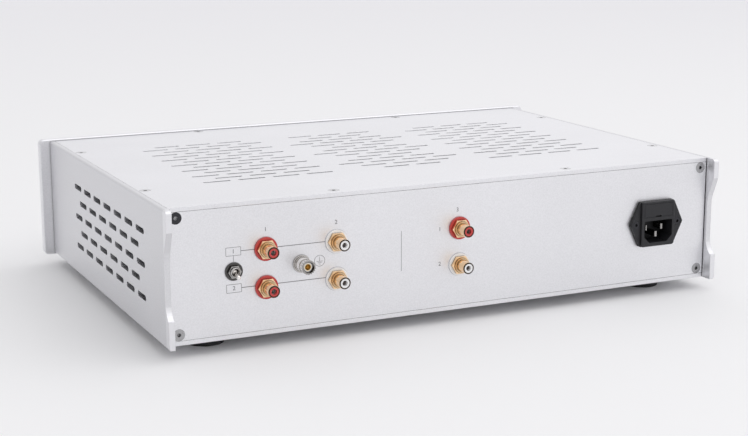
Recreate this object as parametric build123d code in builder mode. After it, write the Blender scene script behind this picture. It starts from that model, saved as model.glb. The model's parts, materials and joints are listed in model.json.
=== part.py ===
from build123d import *
from math import cos, pi, radians, sin, tan
import os

# Phono preamplifier in a flat aluminium case. Millimetres. +Z is up, the rear panel with
# its connectors faces +Y and the front panel faces -Y. The origin is on the surface that
# the feet stand on, under the middle of the whole object. Left and right are named as
# seen from the front, so "right" is +X.

os.makedirs("parts", exist_ok=True)

# ------------------------------------------------------------------ driving sizes
# Case
inner_width = 422.0
side_thickness = 4.0
body_height = 92.0
body_depth = 292.5
cover_thickness = 3.0
base_thickness = 3.0
rear_thickness = 3.0
seam = 0.2
rear_end_gap = 0.5
plate_edge_round = 1.6

front_thickness = 6.5
front_side_overhang = 8.5
front_top_overhang = 1.5
front_bottom_overhang = 0.9
front_corner_radius = 4.0
front_edge_chamfer = 0.8

rail_size = 10.0

# Rear ears of the side plates
ear_reach = 9.5
ear_top_radius = 3.0
ear_bottom_radius = 1.5
ear_upper_tab_height = 14.3
ear_lower_tab_height = 19.2
ear_ledge = 1.2
ear_recess_reach = 2.7
ear_recess_length = 29.0
ear_blend_radius = 18.0

# Ventilation
vent_corner_share = 0.3
side_slot_length = 19.0
side_slot_width = 4.0
side_slot_pitch = 26.6
side_row_pitch = 11.5
side_row_count = 5
side_slots_in_long_row = 7
side_vent_from_rear = 128.5
top_slot_length = 20.3
top_slot_width = 3.4
top_slot_pitch = 25.9
top_row_pitch = 11.8
top_row_pairs = 7
top_slots_in_long_row = 4
top_group_spacing = 113.0
top_vent_from_rear = 148.5

# Screws
m4_radius = 2.0
m4_flat_head_radius = 4.0
m4_socket_flat_width = 2.5
m4_socket_depth = 1.3
m4_cap_head_radius = 3.5
m4_cap_head_height = 4.0
m3_radius = 1.5
m3_flat_head_radius = 2.9
m3_pan_head_radius = 2.8
m3_pan_head_height = 2.0
m3_socket_flats = 2.0
m3_socket_depth = 0.9
clearance_hole_extra = 0.2
tapped_hole_extra = 0.05
head_clearance = 0.05
cover_screw_x = 91.5
rail_screw_half_spacing = 83.5
corner_screw_side_inset = 5.6
corner_screw_inset = 7.2
side_screw_half_spacing = 105.0
front_screw_side_inset = 61.0
cover_screw_length = 9.0
corner_screw_length = 12.0
cap_screw_length = 12.5
blind_hole_extra = 0.5

# Feet
foot_height = 9.0
foot_radius = 15.0
foot_tip_radius = 13.0
foot_recess_radius = 6.5
foot_recess_depth = 5.0
foot_from_side = 34.0
foot_from_rear = 32.0
foot_from_front = 32.0
foot_screw_head_radius = 4.0
foot_screw_head_height = 2.4

# Phono jacks
jack_reach = 14.5
jack_shell_radius = 4.1
jack_shell_wall = 0.8
jack_rim_chamfer = 0.35
jack_collar_radius = 5.2
jack_collar_length = 1.3
jack_hex_flats = 12.0
jack_hex_length = 2.6
jack_hex_crown = 0.5
jack_washer_radius = 8.0
jack_washer_thickness = 1.2
jack_washer_lip_radius = 5.0
jack_washer_lip_length = 1.4
jack_thread_radius = 4.0
jack_thread_reach = 12.5
jack_core_neck_radius = 2.8
jack_core_setback = 0.3
jack_core_mouth_radius = 1.9
jack_contact_bore_radius = 1.65
jack_contact_radius = 2.1
jack_contact_setback = 2.3
jack_contact_depth = 9.5
jack_contact_floor = 1.0
jack_tail_radius = 0.9
jack_tail_length = 4.0
jack_inner_washer_radius = 7.5
jack_inner_washer_thickness = 1.0
jack_tag_radius = 6.2
jack_tag_thickness = 0.5
jack_tag_length = 12.0
jack_tag_width = 4.0
jack_nut_flats = 11.0
jack_nut_thickness = 2.6
jack_fit = 0.1
input_right_from_side = 66.8
input_left_from_side = 117.6
output_x = -0.5
upper_row_height = 58.6
lower_row_height = 32.6

# Selector switch
selector_from_side = 44.1
selector_height = 45.7
selector_bushing_radius = 3.0
selector_bushing_reach = 4.6
selector_bore_radius = 2.3
selector_mouth_radius = 2.75
selector_mouth_depth = 1.6
selector_washer_radius = 6.1
selector_washer_thickness = 0.8
selector_nut_flats = 8.0
selector_nut_thickness = 2.0
selector_case_width = 13.0
selector_case_depth = 12.0
selector_case_height = 12.5
selector_flange_thickness = 1.0
selector_terminal_length = 4.0
selector_terminal_width = 2.0
selector_terminal_thickness = 0.8
selector_terminal_pitch = 4.7
selector_bore_depth = 5.4
lever_pivot_reach = 1.2
lever_ball_radius = 2.0
lever_neck_radius = 0.95
lever_tip_radius = 1.45
lever_length = 9.6
lever_finger_radius = 0.8
lever_finger_length = 4.6
lever_half_throw = 15.0
selector_fit = 0.1

# Ground terminal
ground_from_side = 92.0
ground_height = 45.9
ground_base_radius = 6.0
ground_base_thickness = 1.4
ground_stud_radius = 3.0
ground_stud_reach = 11.4
ground_socket_radius = 2.0
ground_socket_depth = 8.0
ground_collar_radius = 5.4
ground_collar_thickness = 1.2
ground_knob_radius = 4.9
ground_knob_length = 10.6
ground_knob_cup_radius = 3.9
ground_knob_cup_depth = 3.2
ground_flute_count = 18
ground_flute_radius = 0.45
ground_flute_length = 3.4
ground_waist_radius = 4.4
ground_waist_length = 2.4
ground_shank_radius = 2.6
ground_shank_length = 12.0
ground_nut_flats = 8.0
ground_nut_thickness = 2.5
ground_fit = 0.08

# Mains inlet with fuse drawer
inlet_from_side = 45.4
inlet_height = 46.6
inlet_flange_width = 45.8
inlet_flange_height = 33.8
inlet_flange_flat = 29.6
inlet_flange_thickness = 3.0
inlet_corner_radius = 2.0
inlet_block_width = 29.2
inlet_block_reach = 4.9
inlet_block_round = 0.7
inlet_box_width = 27.0
inlet_box_height = 31.6
inlet_box_depth = 24.0
inlet_cutout_gap = 0.3
socket_width = 24.6
socket_height = 16.6
socket_depth = 15.5
socket_rise = 2.9
socket_chamfer = 4.6
socket_corner_radius = 1.2
blade_width = 2.0
blade_height = 4.0
blade_spacing = 14.0
line_blade_rise = 10.4
earth_blade_rise = 5.8
line_blade_setback = 5.4
earth_blade_setback = 2.6
blade_tab_length = 8.0
blade_tab_width = 6.3
blade_tab_thickness = 0.8
blade_tip_chamfer = 0.6
inlet_screw_spacing = 36.6
drawer_width = 24.6
drawer_height = 9.8
drawer_rise = 22.3
drawer_fit = 0.2
drawer_face_thickness = 2.0
drawer_wall = 1.0
drawer_grip_width = 5.0
drawer_grip_height = 1.0
drawer_grip_depth = 1.2
fuse_radius = 2.4
fuse_bore_radius = 1.9
fuse_length = 20.0
fuse_cap_length = 5.0
fuse_cap_wall = 0.2
fuse_seat_gap = 0.1
inlet_screw_length = 8.0

# Power button and lamp on the front panel
button_from_side = 46.0
button_height = 46.0
button_reach = 3.0
button_radius = 6.2
button_length = 9.0
button_travel = 2.5
button_edge_round = 0.8
button_gap = 0.3
button_stem_radius = 2.5
button_stem_length = 9.0
button_stem_gap = 0.3
bezel_radius = 9.0
bezel_reach = 2.0
bezel_tube_radius = 7.9
bezel_tube_length = 12.0
bezel_rim_chamfer = 0.5
bezel_nut_flats = 19.0
bezel_nut_thickness = 3.0
bezel_fit = 0.1
switch_body_radius = 7.9
switch_body_length = 14.0
switch_terminal_length = 7.0
switch_terminal_width = 2.8
switch_terminal_spacing = 7.0
lamp_from_button = 25.0
lamp_radius = 1.5
lamp_dome_reach = 0.8
lamp_flange_radius = 1.9
lamp_flange_length = 1.0
lamp_lead_length = 8.0
lamp_lead_width = 0.5
lamp_lead_spacing = 2.5

# Circuit boards
board_thickness = 1.6
standoff_height = 8.0
standoff_flats = 5.5
standoff_stud_length = 2.6
standoff_thread_depth = 6.0
board_hole_inset = 5.0
board_screw_length = 6.0
board_gap = 40.0
preamp_board_from_side = 26.0
preamp_board_from_rear = 63.75
preamp_board_depth = 150.0
supply_board_from_side = 60.0
supply_board_from_rear = 49.75
supply_board_width = 118.0
supply_board_depth = 84.0

# Parts on the boards
terminal_block_depth = 9.0
terminal_block_height = 10.0
terminal_block_pitch = 5.0
reservoir_radius = 8.0
reservoir_height = 26.0
reservoir_pitch = 20.0
reservoir_setback = 4.0
rectifier_width = 20.0
rectifier_thickness = 4.0
rectifier_height = 16.0
sink_width = 30.0
sink_base_thickness = 4.0
sink_fin_count = 6
sink_fin_length = 10.0
sink_fin_thickness = 1.4
sink_height = 32.0
regulator_width = 10.2
regulator_thickness = 4.5
regulator_height = 16.0
film_capacitor_length = 18.0
film_capacitor_width = 8.0
film_capacitor_height = 13.0
film_capacitor_pitch = 12.0
coupling_radius = 5.0
coupling_height = 12.5
amplifier_length = 9.6
amplifier_width = 7.6
amplifier_height = 4.2
relay_length = 20.0
relay_width = 10.0
relay_height = 11.0

# Transformer
transformer_from_side = 75.0
transformer_from_front = 40.75
transformer_radius = 38.0
transformer_hole_radius = 12.0
transformer_height = 30.0
transformer_bevel = 5.0
transformer_pad_thickness = 2.0
transformer_dish_radius = 30.0
transformer_dish_thickness = 1.5
transformer_dish_cup_radius = 8.0
transformer_dish_cup_depth = 4.0
transformer_bolt_radius = 2.5
transformer_bolt_head_flats = 8.0
transformer_bolt_head_height = 3.5
transformer_nut_height = 4.0

# Wiring
mains_lead_width = 3.6
signal_lead_width = 3.0
lead_turn_share = 0.45
lead_straight_length = 12.0
lead_end_gap = 0.3
lead_run_from_side = 41.0
lead_run_spread = 12.0
bundle_pitch = 5.0
bundle_margin = 15.0
tail_straight_length = 18.0

# ------------------------------------------------------------------ derived places
half_inner = inner_width / 2
half_body = half_inner + side_thickness
half_front = half_body + front_side_overhang
overall_depth = button_reach + front_thickness + body_depth + jack_reach
rear_y = overall_depth / 2 - jack_reach
front_y = rear_y - body_depth
face_y = front_y - front_thickness
base_z = foot_height
floor_z = base_z + base_thickness
top_z = base_z + body_height
ceiling_z = top_z - cover_thickness
rear_inner_y = rear_y - rear_thickness
rail_x = half_inner - rail_size / 2
low_rail_z = floor_z + rail_size / 2
high_rail_z = ceiling_z - rail_size / 2
front_bar_y = front_y + rail_size / 2
rear_bar_y = rear_inner_y - rail_size / 2
side_middle_y = (front_y + rear_y) / 2
foot_x = half_inner - foot_from_side
foot_rear_y = rear_y - foot_from_rear
foot_front_y = front_y + foot_from_front
corner_screw_x = half_inner - corner_screw_side_inset
front_screw_x = half_inner - front_screw_side_inset
input_right_x = half_inner - input_right_from_side
input_left_x = half_inner - input_left_from_side
selector_x = half_inner - selector_from_side
ground_x = half_inner - ground_from_side
inlet_x = inlet_from_side - half_inner
button_x = button_from_side - half_inner
lamp_x = button_x + lamp_from_button
red_jacks = {
    "jack_input_one_right": (input_right_x, base_z + upper_row_height),
    "jack_input_two_right": (input_right_x, base_z + lower_row_height),
    "jack_output_right": (output_x, base_z + upper_row_height),
}
white_jacks = {
    "jack_input_one_left": (input_left_x, base_z + upper_row_height),
    "jack_input_two_left": (input_left_x, base_z + lower_row_height),
    "jack_output_left": (output_x, base_z + lower_row_height),
}
all_jacks = {**red_jacks, **white_jacks}
selector_z = base_z + selector_height
ground_z = base_z + ground_height
inlet_z = base_z + inlet_height
button_z = base_z + button_height
cover_screw_places = [
    (sx * cover_screw_x, y) for sx in (-1, 1) for y in (front_bar_y, rear_bar_y)
] + [
    (sx * rail_x, side_middle_y + sy * rail_screw_half_spacing)
    for sx in (-1, 1) for sy in (-1, 1)
]
corner_screw_places = [
    (sx * corner_screw_x, z) for sx in (-1, 1)
    for z in (base_z + corner_screw_inset, top_z - corner_screw_inset)
]
side_screw_places = [
    (side_middle_y + sy * side_screw_half_spacing, z)
    for sy in (-1, 1) for z in (low_rail_z, high_rail_z)
]
inlet_screw_places = [(inlet_x + sx * inlet_screw_spacing / 2, inlet_z) for sx in (-1, 1)]
cap_screw_bite = cap_screw_length - rail_size
m4_clearance_radius = m4_radius + clearance_hole_extra
m4_tapped_radius = m4_radius + tapped_hole_extra
m4_sink_radius = m4_flat_head_radius + 2 * head_clearance
m3_tapped_radius = m3_radius + tapped_hole_extra
m3_sink_radius = m3_flat_head_radius + 2 * head_clearance
supply_left_x = supply_board_from_side - half_inner
supply_right_x = supply_left_x + supply_board_width
supply_board_x = (supply_left_x + supply_right_x) / 2
supply_rear_y = rear_y - supply_board_from_rear
supply_front_y = supply_rear_y - supply_board_depth
supply_board_y = (supply_rear_y + supply_front_y) / 2
preamp_left_x = supply_right_x + board_gap
preamp_right_x = half_inner - preamp_board_from_side
preamp_board_width = preamp_right_x - preamp_left_x
preamp_board_x = (preamp_left_x + preamp_right_x) / 2
preamp_rear_y = rear_y - preamp_board_from_rear
preamp_board_y = preamp_rear_y - preamp_board_depth / 2
transformer_x = transformer_from_side + transformer_radius - half_inner
transformer_y = front_y + transformer_from_front + transformer_radius


# ------------------------------------------------------------------ shared shapes
def wall(y, x=0, z=0):
    """Upright plane across the case at depth y, with local x along +X and local y up."""
    return Plane(origin=(x, y, z), x_dir=(1, 0, 0), z_dir=(0, -1, 0))


def axis_plane(x, y, z):
    """Plane through a connector's axis: local x is the radius and local y points to the rear."""
    return Plane(origin=(x, y, z), x_dir=(1, 0, 0), z_dir=(0, 0, 1))


def turn(x, y, z, outline):
    """Adds a body turned about the rearward axis through (x, y, z) to the open part."""
    with BuildSketch(axis_plane(x, y, z)) as half_section:
        with BuildLine():
            Polyline(*outline, close=True)
        make_face()
    revolve(half_section.sketch, axis=Axis((x, y, z), (0, 1, 0)))


def hexagon(x, y, z, flats, thickness, hole_radius):
    """Adds a hexagon nut to the open part, from depth y towards the rear, with a round hole."""
    with BuildSketch(wall(y)) as outline:
        with Locations((x, z)):
            RegularPolygon(radius=flats / 2, side_count=6, major_radius=False)
            Circle(hole_radius, mode=Mode.SUBTRACT)
    extrude(outline.sketch, amount=-thickness)


def vent_slot(length, width):
    """Cuts ventilation slots with bevelled ends, at the current places, from the open sketch."""
    with BuildSketch(mode=Mode.PRIVATE) as outline:
        Rectangle(length, width)
        chamfer(vertices(), vent_corner_share * width)
    add(outline.sketch, mode=Mode.SUBTRACT)


def rearward(x, y, z):
    """Location of a screw whose head faces the rear."""
    return Location((x, y, z), (-90, 0, 0))


def flat_head_screw(head_radius, shank_radius, length, socket_flats, socket_depth):
    """Countersunk screw with a hexagon socket, its head flush with z = 0 and its shank down."""
    cone_end = head_clearance + head_radius - shank_radius
    with BuildPart() as screw:
        with BuildSketch(Plane.XZ) as half_section:
            with BuildLine():
                Polyline(
                    (0, -head_clearance),
                    (head_radius, -head_clearance),
                    (shank_radius, -cone_end),
                    (shank_radius, -length),
                    (0, -length),
                    close=True,
                )
            make_face()
        revolve(axis=Axis.Z)
        with BuildSketch(Plane.XY.offset(-head_clearance)) as socket:
            RegularPolygon(radius=socket_flats / 2, side_count=6, major_radius=False)
        extrude(amount=-socket_depth, mode=Mode.SUBTRACT)
    return screw.part


def cap_screw(head_radius, head_height, shank_radius, length):
    """Cap screw standing on z = 0 with its head up and its shank down."""
    with BuildPart() as screw:
        with Locations((0, 0, head_height / 2)):
            Cylinder(head_radius, head_height)
        with Locations((0, 0, -length / 2)):
            Cylinder(shank_radius, length)
    return screw.part


def lead(width, *route):
    """Adds a flat twin lead to the open part: runs joined by arcs as wide as they allow."""
    points = [Vector(*point) for point in route]
    bends = []
    for before, corner, after in zip(points, points[1:], points[2:]):
        turn_angle = radians((corner - before).get_angle(after - corner))
        shorter_run = min((corner - before).length, (after - corner).length)
        bends.append(lead_turn_share * shorter_run / tan(turn_angle / 2))
    with BuildLine() as path:
        FilletPolyline(*points, radius=bends)
    with BuildSketch(Plane(origin=path.line @ 0, z_dir=path.line % 0)) as section:
        Rectangle(width, width / 2)
    sweep(section.sketch, path=path.line)


# ------------------------------------------------------------------ case
with BuildPart() as front_panel:
    low = base_z - front_bottom_overhang
    high = top_z + front_top_overhang
    with BuildSketch(wall(front_y)):
        with Locations((0, (low + high) / 2)):
            RectangleRounded(2 * half_front, high - low, front_corner_radius)
    extrude(amount=front_thickness)
    outer_edges = front_panel.faces().sort_by(Axis.Y)[0].edges()
    inner_edges = front_panel.faces().sort_by(Axis.Y)[-1].edges()
    chamfer(outer_edges + inner_edges, front_edge_chamfer)
    with Locations(Location((button_x, face_y, button_z), (90, 0, 0))):
        Hole(bezel_tube_radius + bezel_fit, front_thickness)
    with Locations(Location((lamp_x, face_y, button_z), (90, 0, 0))):
        Hole(lamp_radius + bezel_fit, front_thickness)
    with Locations(*[
        Location((sx * front_screw_x, front_y, z), (-90, 0, 0))
        for sx in (-1, 1) for z in (low_rail_z, high_rail_z)
    ]):
        Hole(m4_tapped_radius, cap_screw_bite + blind_hole_extra)
front_panel.part.label = "front_panel"
export_step(front_panel.part, "parts/front_panel.step")


def side_plate(side):
    """Side plate with a scalloped ear behind the rear panel; side is +1 right or -1 left."""
    tab_y = rear_y + ear_reach
    ledge_y = tab_y - ear_ledge
    recess_y = rear_y + ear_recess_reach
    middle_z = base_z + body_height / 2
    low_tab_z = base_z + ear_lower_tab_height
    high_tab_z = top_z - ear_upper_tab_height
    low_recess_z = middle_z - ear_recess_length / 2
    high_recess_z = middle_z + ear_recess_length / 2
    with BuildPart() as plate:
        with BuildSketch(wall(front_y)):
            with Locations((side * (half_inner + side_thickness / 2), middle_z)):
                Rectangle(side_thickness, body_height)
            outer_corners = vertices().group_by(Axis.X)[0 if side < 0 else -1]
            fillet(outer_corners, plate_edge_round)
        extrude(amount=front_y - tab_y)
        with BuildSketch(Plane.YZ.offset(side * half_inner)):
            with BuildLine():
                Polyline(
                    (ledge_y, low_tab_z),
                    (tab_y, low_tab_z),
                    (tab_y, base_z),
                    (front_y, base_z),
                    (front_y, top_z),
                    (tab_y, top_z),
                    (tab_y, high_tab_z),
                    (recess_y, high_recess_z),
                    (recess_y, low_recess_z),
                )
                TangentArc((recess_y, low_recess_z), (ledge_y, low_tab_z), tangent=(0, -1))
            make_face()
            recess_ends = vertices().group_by(Axis.X)[1]
            fillet(recess_ends.sort_by(Axis.Y)[-1], ear_blend_radius)
            ear_ends = vertices().group_by(Axis.X)[-1]
            fillet(ear_ends.sort_by(Axis.Y)[-1], ear_top_radius)
            fillet(ear_ends.sort_by(Axis.Y)[0], ear_bottom_radius)
            vent_y = rear_y - side_vent_from_rear
            long_rows = (side_row_count + 1) // 2
            short_rows = side_row_count // 2
            with Locations((vent_y, middle_z)):
                with GridLocations(
                    side_slot_pitch, 2 * side_row_pitch, side_slots_in_long_row, long_rows
                ):
                    vent_slot(side_slot_length, side_slot_width)
                with GridLocations(
                    side_slot_pitch, 2 * side_row_pitch, side_slots_in_long_row - 1, short_rows
                ):
                    vent_slot(side_slot_length, side_slot_width)
        extrude(amount=side * side_thickness, mode=Mode.INTERSECT)
        with Locations(*[
            Location((side * half_inner, y, z), (0, -side * 90, 0)) for y, z in side_screw_places
        ]):
            Hole(m4_tapped_radius, cap_screw_bite + blind_hole_extra)
    return plate.part


side_plate_left = side_plate(-1)
side_plate_left.label = "side_plate_left"
export_step(side_plate_left, "parts/side_plate_left.step")

side_plate_right = side_plate(1)
side_plate_right.label = "side_plate_right"
export_step(side_plate_right, "parts/side_plate_right.step")

with BuildPart() as top_cover:
    with BuildSketch(Plane.XY.offset(ceiling_z)):
        with Locations((0, side_middle_y + seam / 2)):
            Rectangle(inner_width - 2 * seam, body_depth - seam)
        vent_y = rear_y - top_vent_from_rear
        short_y = vent_y - top_row_pitch / 2
        long_y = vent_y + top_row_pitch / 2
        half_pairs = top_row_pairs // 2
        for group_x in (-top_group_spacing, 0, top_group_spacing):
            with Locations((group_x, short_y)):
                with GridLocations(
                    top_slot_pitch, 2 * top_row_pitch, top_slots_in_long_row - 1, top_row_pairs
                ):
                    vent_slot(top_slot_length, top_slot_width)
        for group_x in (-top_group_spacing, top_group_spacing):
            with Locations((group_x, long_y)):
                with GridLocations(
                    top_slot_pitch, 2 * top_row_pitch, top_slots_in_long_row, top_row_pairs
                ):
                    vent_slot(top_slot_length, top_slot_width)
        with Locations((0, long_y)):
            with GridLocations(
                top_slot_pitch, 4 * top_row_pitch, top_slots_in_long_row - 2, half_pairs + 1
            ):
                vent_slot(top_slot_length, top_slot_width)
            with GridLocations(
                top_slot_pitch, 4 * top_row_pitch, top_slots_in_long_row, half_pairs
            ):
                vent_slot(top_slot_length, top_slot_width)
    extrude(amount=cover_thickness)
    with Locations(*[(x, y, top_z) for x, y in cover_screw_places]):
        CounterSinkHole(m4_clearance_radius, m4_sink_radius, cover_thickness, 90)
top_cover.part.label = "top_cover"
export_step(top_cover.part, "parts/top_cover.step")

with BuildPart() as bottom_plate:
    with BuildSketch(Plane.XY.offset(base_z)):
        with Locations((0, side_middle_y + seam / 2)):
            Rectangle(inner_width - 2 * seam, body_depth - seam)
    extrude(amount=base_thickness)
    with Locations(*[Location((x, y, base_z), (180, 0, 0)) for x, y in cover_screw_places]):
        CounterSinkHole(m4_clearance_radius, m4_sink_radius, base_thickness, 90)
    with Locations(*[
        (sx * foot_x, y, floor_z) for sx in (-1, 1) for y in (foot_front_y, foot_rear_y)
    ]):
        Hole(m4_tapped_radius, base_thickness)
    with Locations((transformer_x, transformer_y, floor_z)):
        Hole(transformer_bolt_radius + clearance_hole_extra, base_thickness)
    for board_x, board_y, board_width, board_depth in (
        (preamp_board_x, preamp_board_y, preamp_board_width, preamp_board_depth),
        (supply_board_x, supply_board_y, supply_board_width, supply_board_depth),
    ):
        with Locations((board_x, board_y, floor_z)):
            with GridLocations(
                board_width - 2 * board_hole_inset, board_depth - 2 * board_hole_inset, 2, 2
            ):
                Hole(m3_tapped_radius, base_thickness)
bottom_plate.part.label = "bottom_plate"
export_step(bottom_plate.part, "parts/bottom_plate.step")

with BuildPart() as rear_panel:
    with BuildSketch(wall(rear_inner_y)):
        with Locations((0, (floor_z + ceiling_z) / 2)):
            Rectangle(inner_width - 2 * rear_end_gap, ceiling_z - floor_z - 2 * seam)
        for x, z in all_jacks.values():
            with Locations((x, z)):
                Circle(jack_washer_lip_radius + jack_fit, mode=Mode.SUBTRACT)
        with Locations((selector_x, selector_z)):
            Circle(selector_bushing_radius + selector_fit, mode=Mode.SUBTRACT)
        with Locations((ground_x, ground_z)):
            Circle(ground_shank_radius + clearance_hole_extra, mode=Mode.SUBTRACT)
        with Locations((inlet_x, inlet_z)):
            Rectangle(
                inlet_box_width + 2 * inlet_cutout_gap,
                inlet_box_height + 2 * inlet_cutout_gap,
                mode=Mode.SUBTRACT,
            )
        for x, z in inlet_screw_places:
            with Locations((x, z)):
                Circle(m3_tapped_radius, mode=Mode.SUBTRACT)
    extrude(amount=-rear_thickness)
    with Locations(*[rearward(x, rear_y, z) for x, z in corner_screw_places]):
        CounterSinkHole(m4_clearance_radius, m4_sink_radius, rear_thickness, 90)
rear_panel.part.label = "rear_panel"
export_step(rear_panel.part, "parts/rear_panel.step")

with BuildPart() as side_rails:
    rail_length = rear_inner_y - front_y
    with Locations(*[
        (sx * rail_x, front_y + rail_length / 2, z)
        for sx in (-1, 1) for z in (low_rail_z, high_rail_z)
    ]):
        Box(rail_size, rail_length, rail_size)
    for x, y in cover_screw_places:
        if abs(x) > half_inner - rail_size:
            with Locations((x, y, ceiling_z), Location((x, y, floor_z), (180, 0, 0))):
                Hole(m4_tapped_radius, cover_screw_length - cover_thickness + blind_hole_extra)
    with Locations(*[rearward(x, rear_inner_y, z) for x, z in corner_screw_places]):
        Hole(m4_tapped_radius, corner_screw_length - rear_thickness + blind_hole_extra)
    with Locations(*[
        Location((sx * (half_inner - rail_size), y, z), (0, -sx * 90, 0))
        for sx in (-1, 1) for y, z in side_screw_places
    ]):
        Hole(m4_clearance_radius, rail_size)
side_rails.part.label = "side_rails"
export_step(side_rails.part, "parts/side_rails.step")

with BuildPart() as cross_bars:
    with Locations(*[
        (0, y, z) for y in (front_bar_y, rear_bar_y) for z in (low_rail_z, high_rail_z)
    ]):
        Box(2 * (half_inner - rail_size), rail_size, rail_size)
    for x, y in cover_screw_places:
        if abs(x) < half_inner - rail_size:
            with Locations((x, y, ceiling_z), Location((x, y, floor_z), (180, 0, 0))):
                Hole(m4_tapped_radius, cover_screw_length - cover_thickness + blind_hole_extra)
    with Locations(*[
        rearward(sx * front_screw_x, front_y + rail_size, z)
        for sx in (-1, 1) for z in (low_rail_z, high_rail_z)
    ]):
        Hole(m4_clearance_radius, rail_size)
cross_bars.part.label = "cross_bars"
export_step(cross_bars.part, "parts/cross_bars.step")

# ------------------------------------------------------------------ case screws and feet
m4_flat_screw = flat_head_screw(
    m4_flat_head_radius, m4_radius, cover_screw_length, m4_socket_flat_width, m4_socket_depth
)
m4_corner_screw = flat_head_screw(
    m4_flat_head_radius, m4_radius, corner_screw_length, m4_socket_flat_width, m4_socket_depth
)
m4_cap_screw = cap_screw(m4_cap_head_radius, m4_cap_head_height, m4_radius, cap_screw_length)

with BuildPart() as cover_screws:
    for x, y in cover_screw_places:
        with Locations((x, y, top_z), Location((x, y, base_z), (180, 0, 0))):
            add(m4_flat_screw)
cover_screws.part.label = "cover_screws"
export_step(cover_screws.part, "parts/cover_screws.step")

with BuildPart() as rear_panel_screws:
    with Locations(*[rearward(x, rear_y, z) for x, z in corner_screw_places]):
        add(m4_corner_screw)
rear_panel_screws.part.label = "rear_panel_screws"
export_step(rear_panel_screws.part, "parts/rear_panel_screws.step")

with BuildPart() as frame_screws:
    with Locations(*[
        Location((sx * (half_inner - rail_size), y, z), (0, -sx * 90, 0))
        for sx in (-1, 1) for y, z in side_screw_places
    ]):
        add(m4_cap_screw)
    with Locations(*[
        rearward(sx * front_screw_x, front_y + rail_size, z)
        for sx in (-1, 1) for z in (low_rail_z, high_rail_z)
    ]):
        add(m4_cap_screw)
frame_screws.part.label = "frame_screws"
export_step(frame_screws.part, "parts/frame_screws.step")

foot_places = {
    "foot_front_left": (-foot_x, foot_front_y),
    "foot_front_right": (foot_x, foot_front_y),
    "foot_rear_left": (-foot_x, foot_rear_y),
    "foot_rear_right": (foot_x, foot_rear_y),
}
for foot_name, (x, y) in foot_places.items():
    with BuildPart() as foot:
        with BuildSketch(Plane(origin=(x, y, 0), x_dir=(1, 0, 0), z_dir=(0, -1, 0))):
            with BuildLine():
                Polyline(
                    (m4_clearance_radius, foot_height),
                    (foot_radius, foot_height),
                    (foot_tip_radius, 0),
                    (foot_recess_radius, 0),
                    (foot_recess_radius, foot_recess_depth),
                    (m4_clearance_radius, foot_recess_depth),
                    close=True,
                )
            make_face()
        revolve(axis=Axis((x, y, 0), (0, 0, 1)))
    foot.part.label = foot_name
    export_step(foot.part, f"parts/{foot_name}.step")

with BuildPart() as foot_screws:
    foot_screw_length = foot_height - foot_recess_depth + base_thickness
    with Locations(*[
        Location((x, y, foot_recess_depth), (180, 0, 0)) for x, y in foot_places.values()
    ]):
        add(cap_screw(
            foot_screw_head_radius, foot_screw_head_height, m4_radius, foot_screw_length
        ))
foot_screws.part.label = "foot_screws"
export_step(foot_screws.part, "parts/foot_screws.step")

# ------------------------------------------------------------------ phono jacks
jack_hex_end = jack_washer_thickness + jack_hex_length
jack_collar_end = jack_hex_end + jack_collar_length
jack_cavity_radius = jack_shell_radius - jack_shell_wall
jack_core_front = jack_reach - jack_core_setback
jack_contact_front = jack_core_front - jack_contact_setback
jack_contact_back = jack_contact_front - jack_contact_depth
jack_core_back = -jack_thread_reach - jack_core_setback
jack_stack_inner = -rear_thickness - jack_inner_washer_thickness
jack_stack_tag = jack_stack_inner - jack_tag_thickness

with BuildPart() as jack_body:
    turn(0, 0, 0, [
        (jack_core_neck_radius, -jack_thread_reach),
        (jack_thread_radius, -jack_thread_reach),
        (jack_thread_radius, jack_hex_end),
        (jack_collar_radius, jack_hex_end),
        (jack_collar_radius, jack_collar_end),
        (jack_shell_radius, jack_collar_end),
        (jack_shell_radius, jack_reach - jack_rim_chamfer),
        (jack_shell_radius - jack_rim_chamfer, jack_reach),
        (jack_cavity_radius, jack_reach),
        (jack_cavity_radius, jack_collar_end),
        (jack_core_neck_radius, jack_collar_end),
    ])
    hexagon(0, jack_washer_thickness, 0, jack_hex_flats, jack_hex_length, jack_thread_radius)
    with BuildSketch(axis_plane(0, 0, 0)):
        with BuildLine():
            crown_radius = jack_hex_flats / 2 / cos(radians(30)) + jack_hex_crown
            Polyline(
                (jack_hex_flats / 2, jack_hex_end),
                (crown_radius, jack_hex_end - jack_hex_crown),
                (crown_radius, jack_hex_end),
                close=True,
            )
        make_face()
    revolve(axis=Axis.Y, mode=Mode.SUBTRACT)

with BuildPart() as jack_washer:
    turn(0, 0, 0, [
        (jack_thread_radius + jack_fit, -jack_washer_lip_length),
        (jack_washer_lip_radius, -jack_washer_lip_length),
        (jack_washer_lip_radius, 0),
        (jack_washer_radius, 0),
        (jack_washer_radius, jack_washer_thickness),
        (jack_thread_radius + jack_fit, jack_washer_thickness),
    ])

with BuildPart() as jack_core:
    jack_contact_end = jack_contact_back - jack_contact_floor
    turn(0, 0, 0, [
        (jack_tail_radius, jack_core_back),
        (jack_core_neck_radius, jack_core_back),
        (jack_core_neck_radius, jack_collar_end),
        (jack_cavity_radius, jack_collar_end),
        (jack_cavity_radius, jack_core_front),
        (jack_core_mouth_radius, jack_core_front),
        (jack_core_mouth_radius, jack_contact_front),
        (jack_contact_radius, jack_contact_front),
        (jack_contact_radius, jack_contact_end),
        (jack_tail_radius, jack_contact_end),
    ])

with BuildPart() as jack_contact:
    turn(0, 0, 0, [
        (0, jack_core_back - jack_tail_length),
        (jack_tail_radius, jack_core_back - jack_tail_length),
        (jack_tail_radius, jack_contact_end),
        (jack_contact_radius, jack_contact_end),
        (jack_contact_radius, jack_contact_front),
        (jack_contact_bore_radius, jack_contact_front),
        (jack_contact_bore_radius, jack_contact_back),
        (0, jack_contact_back),
    ])

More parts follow.
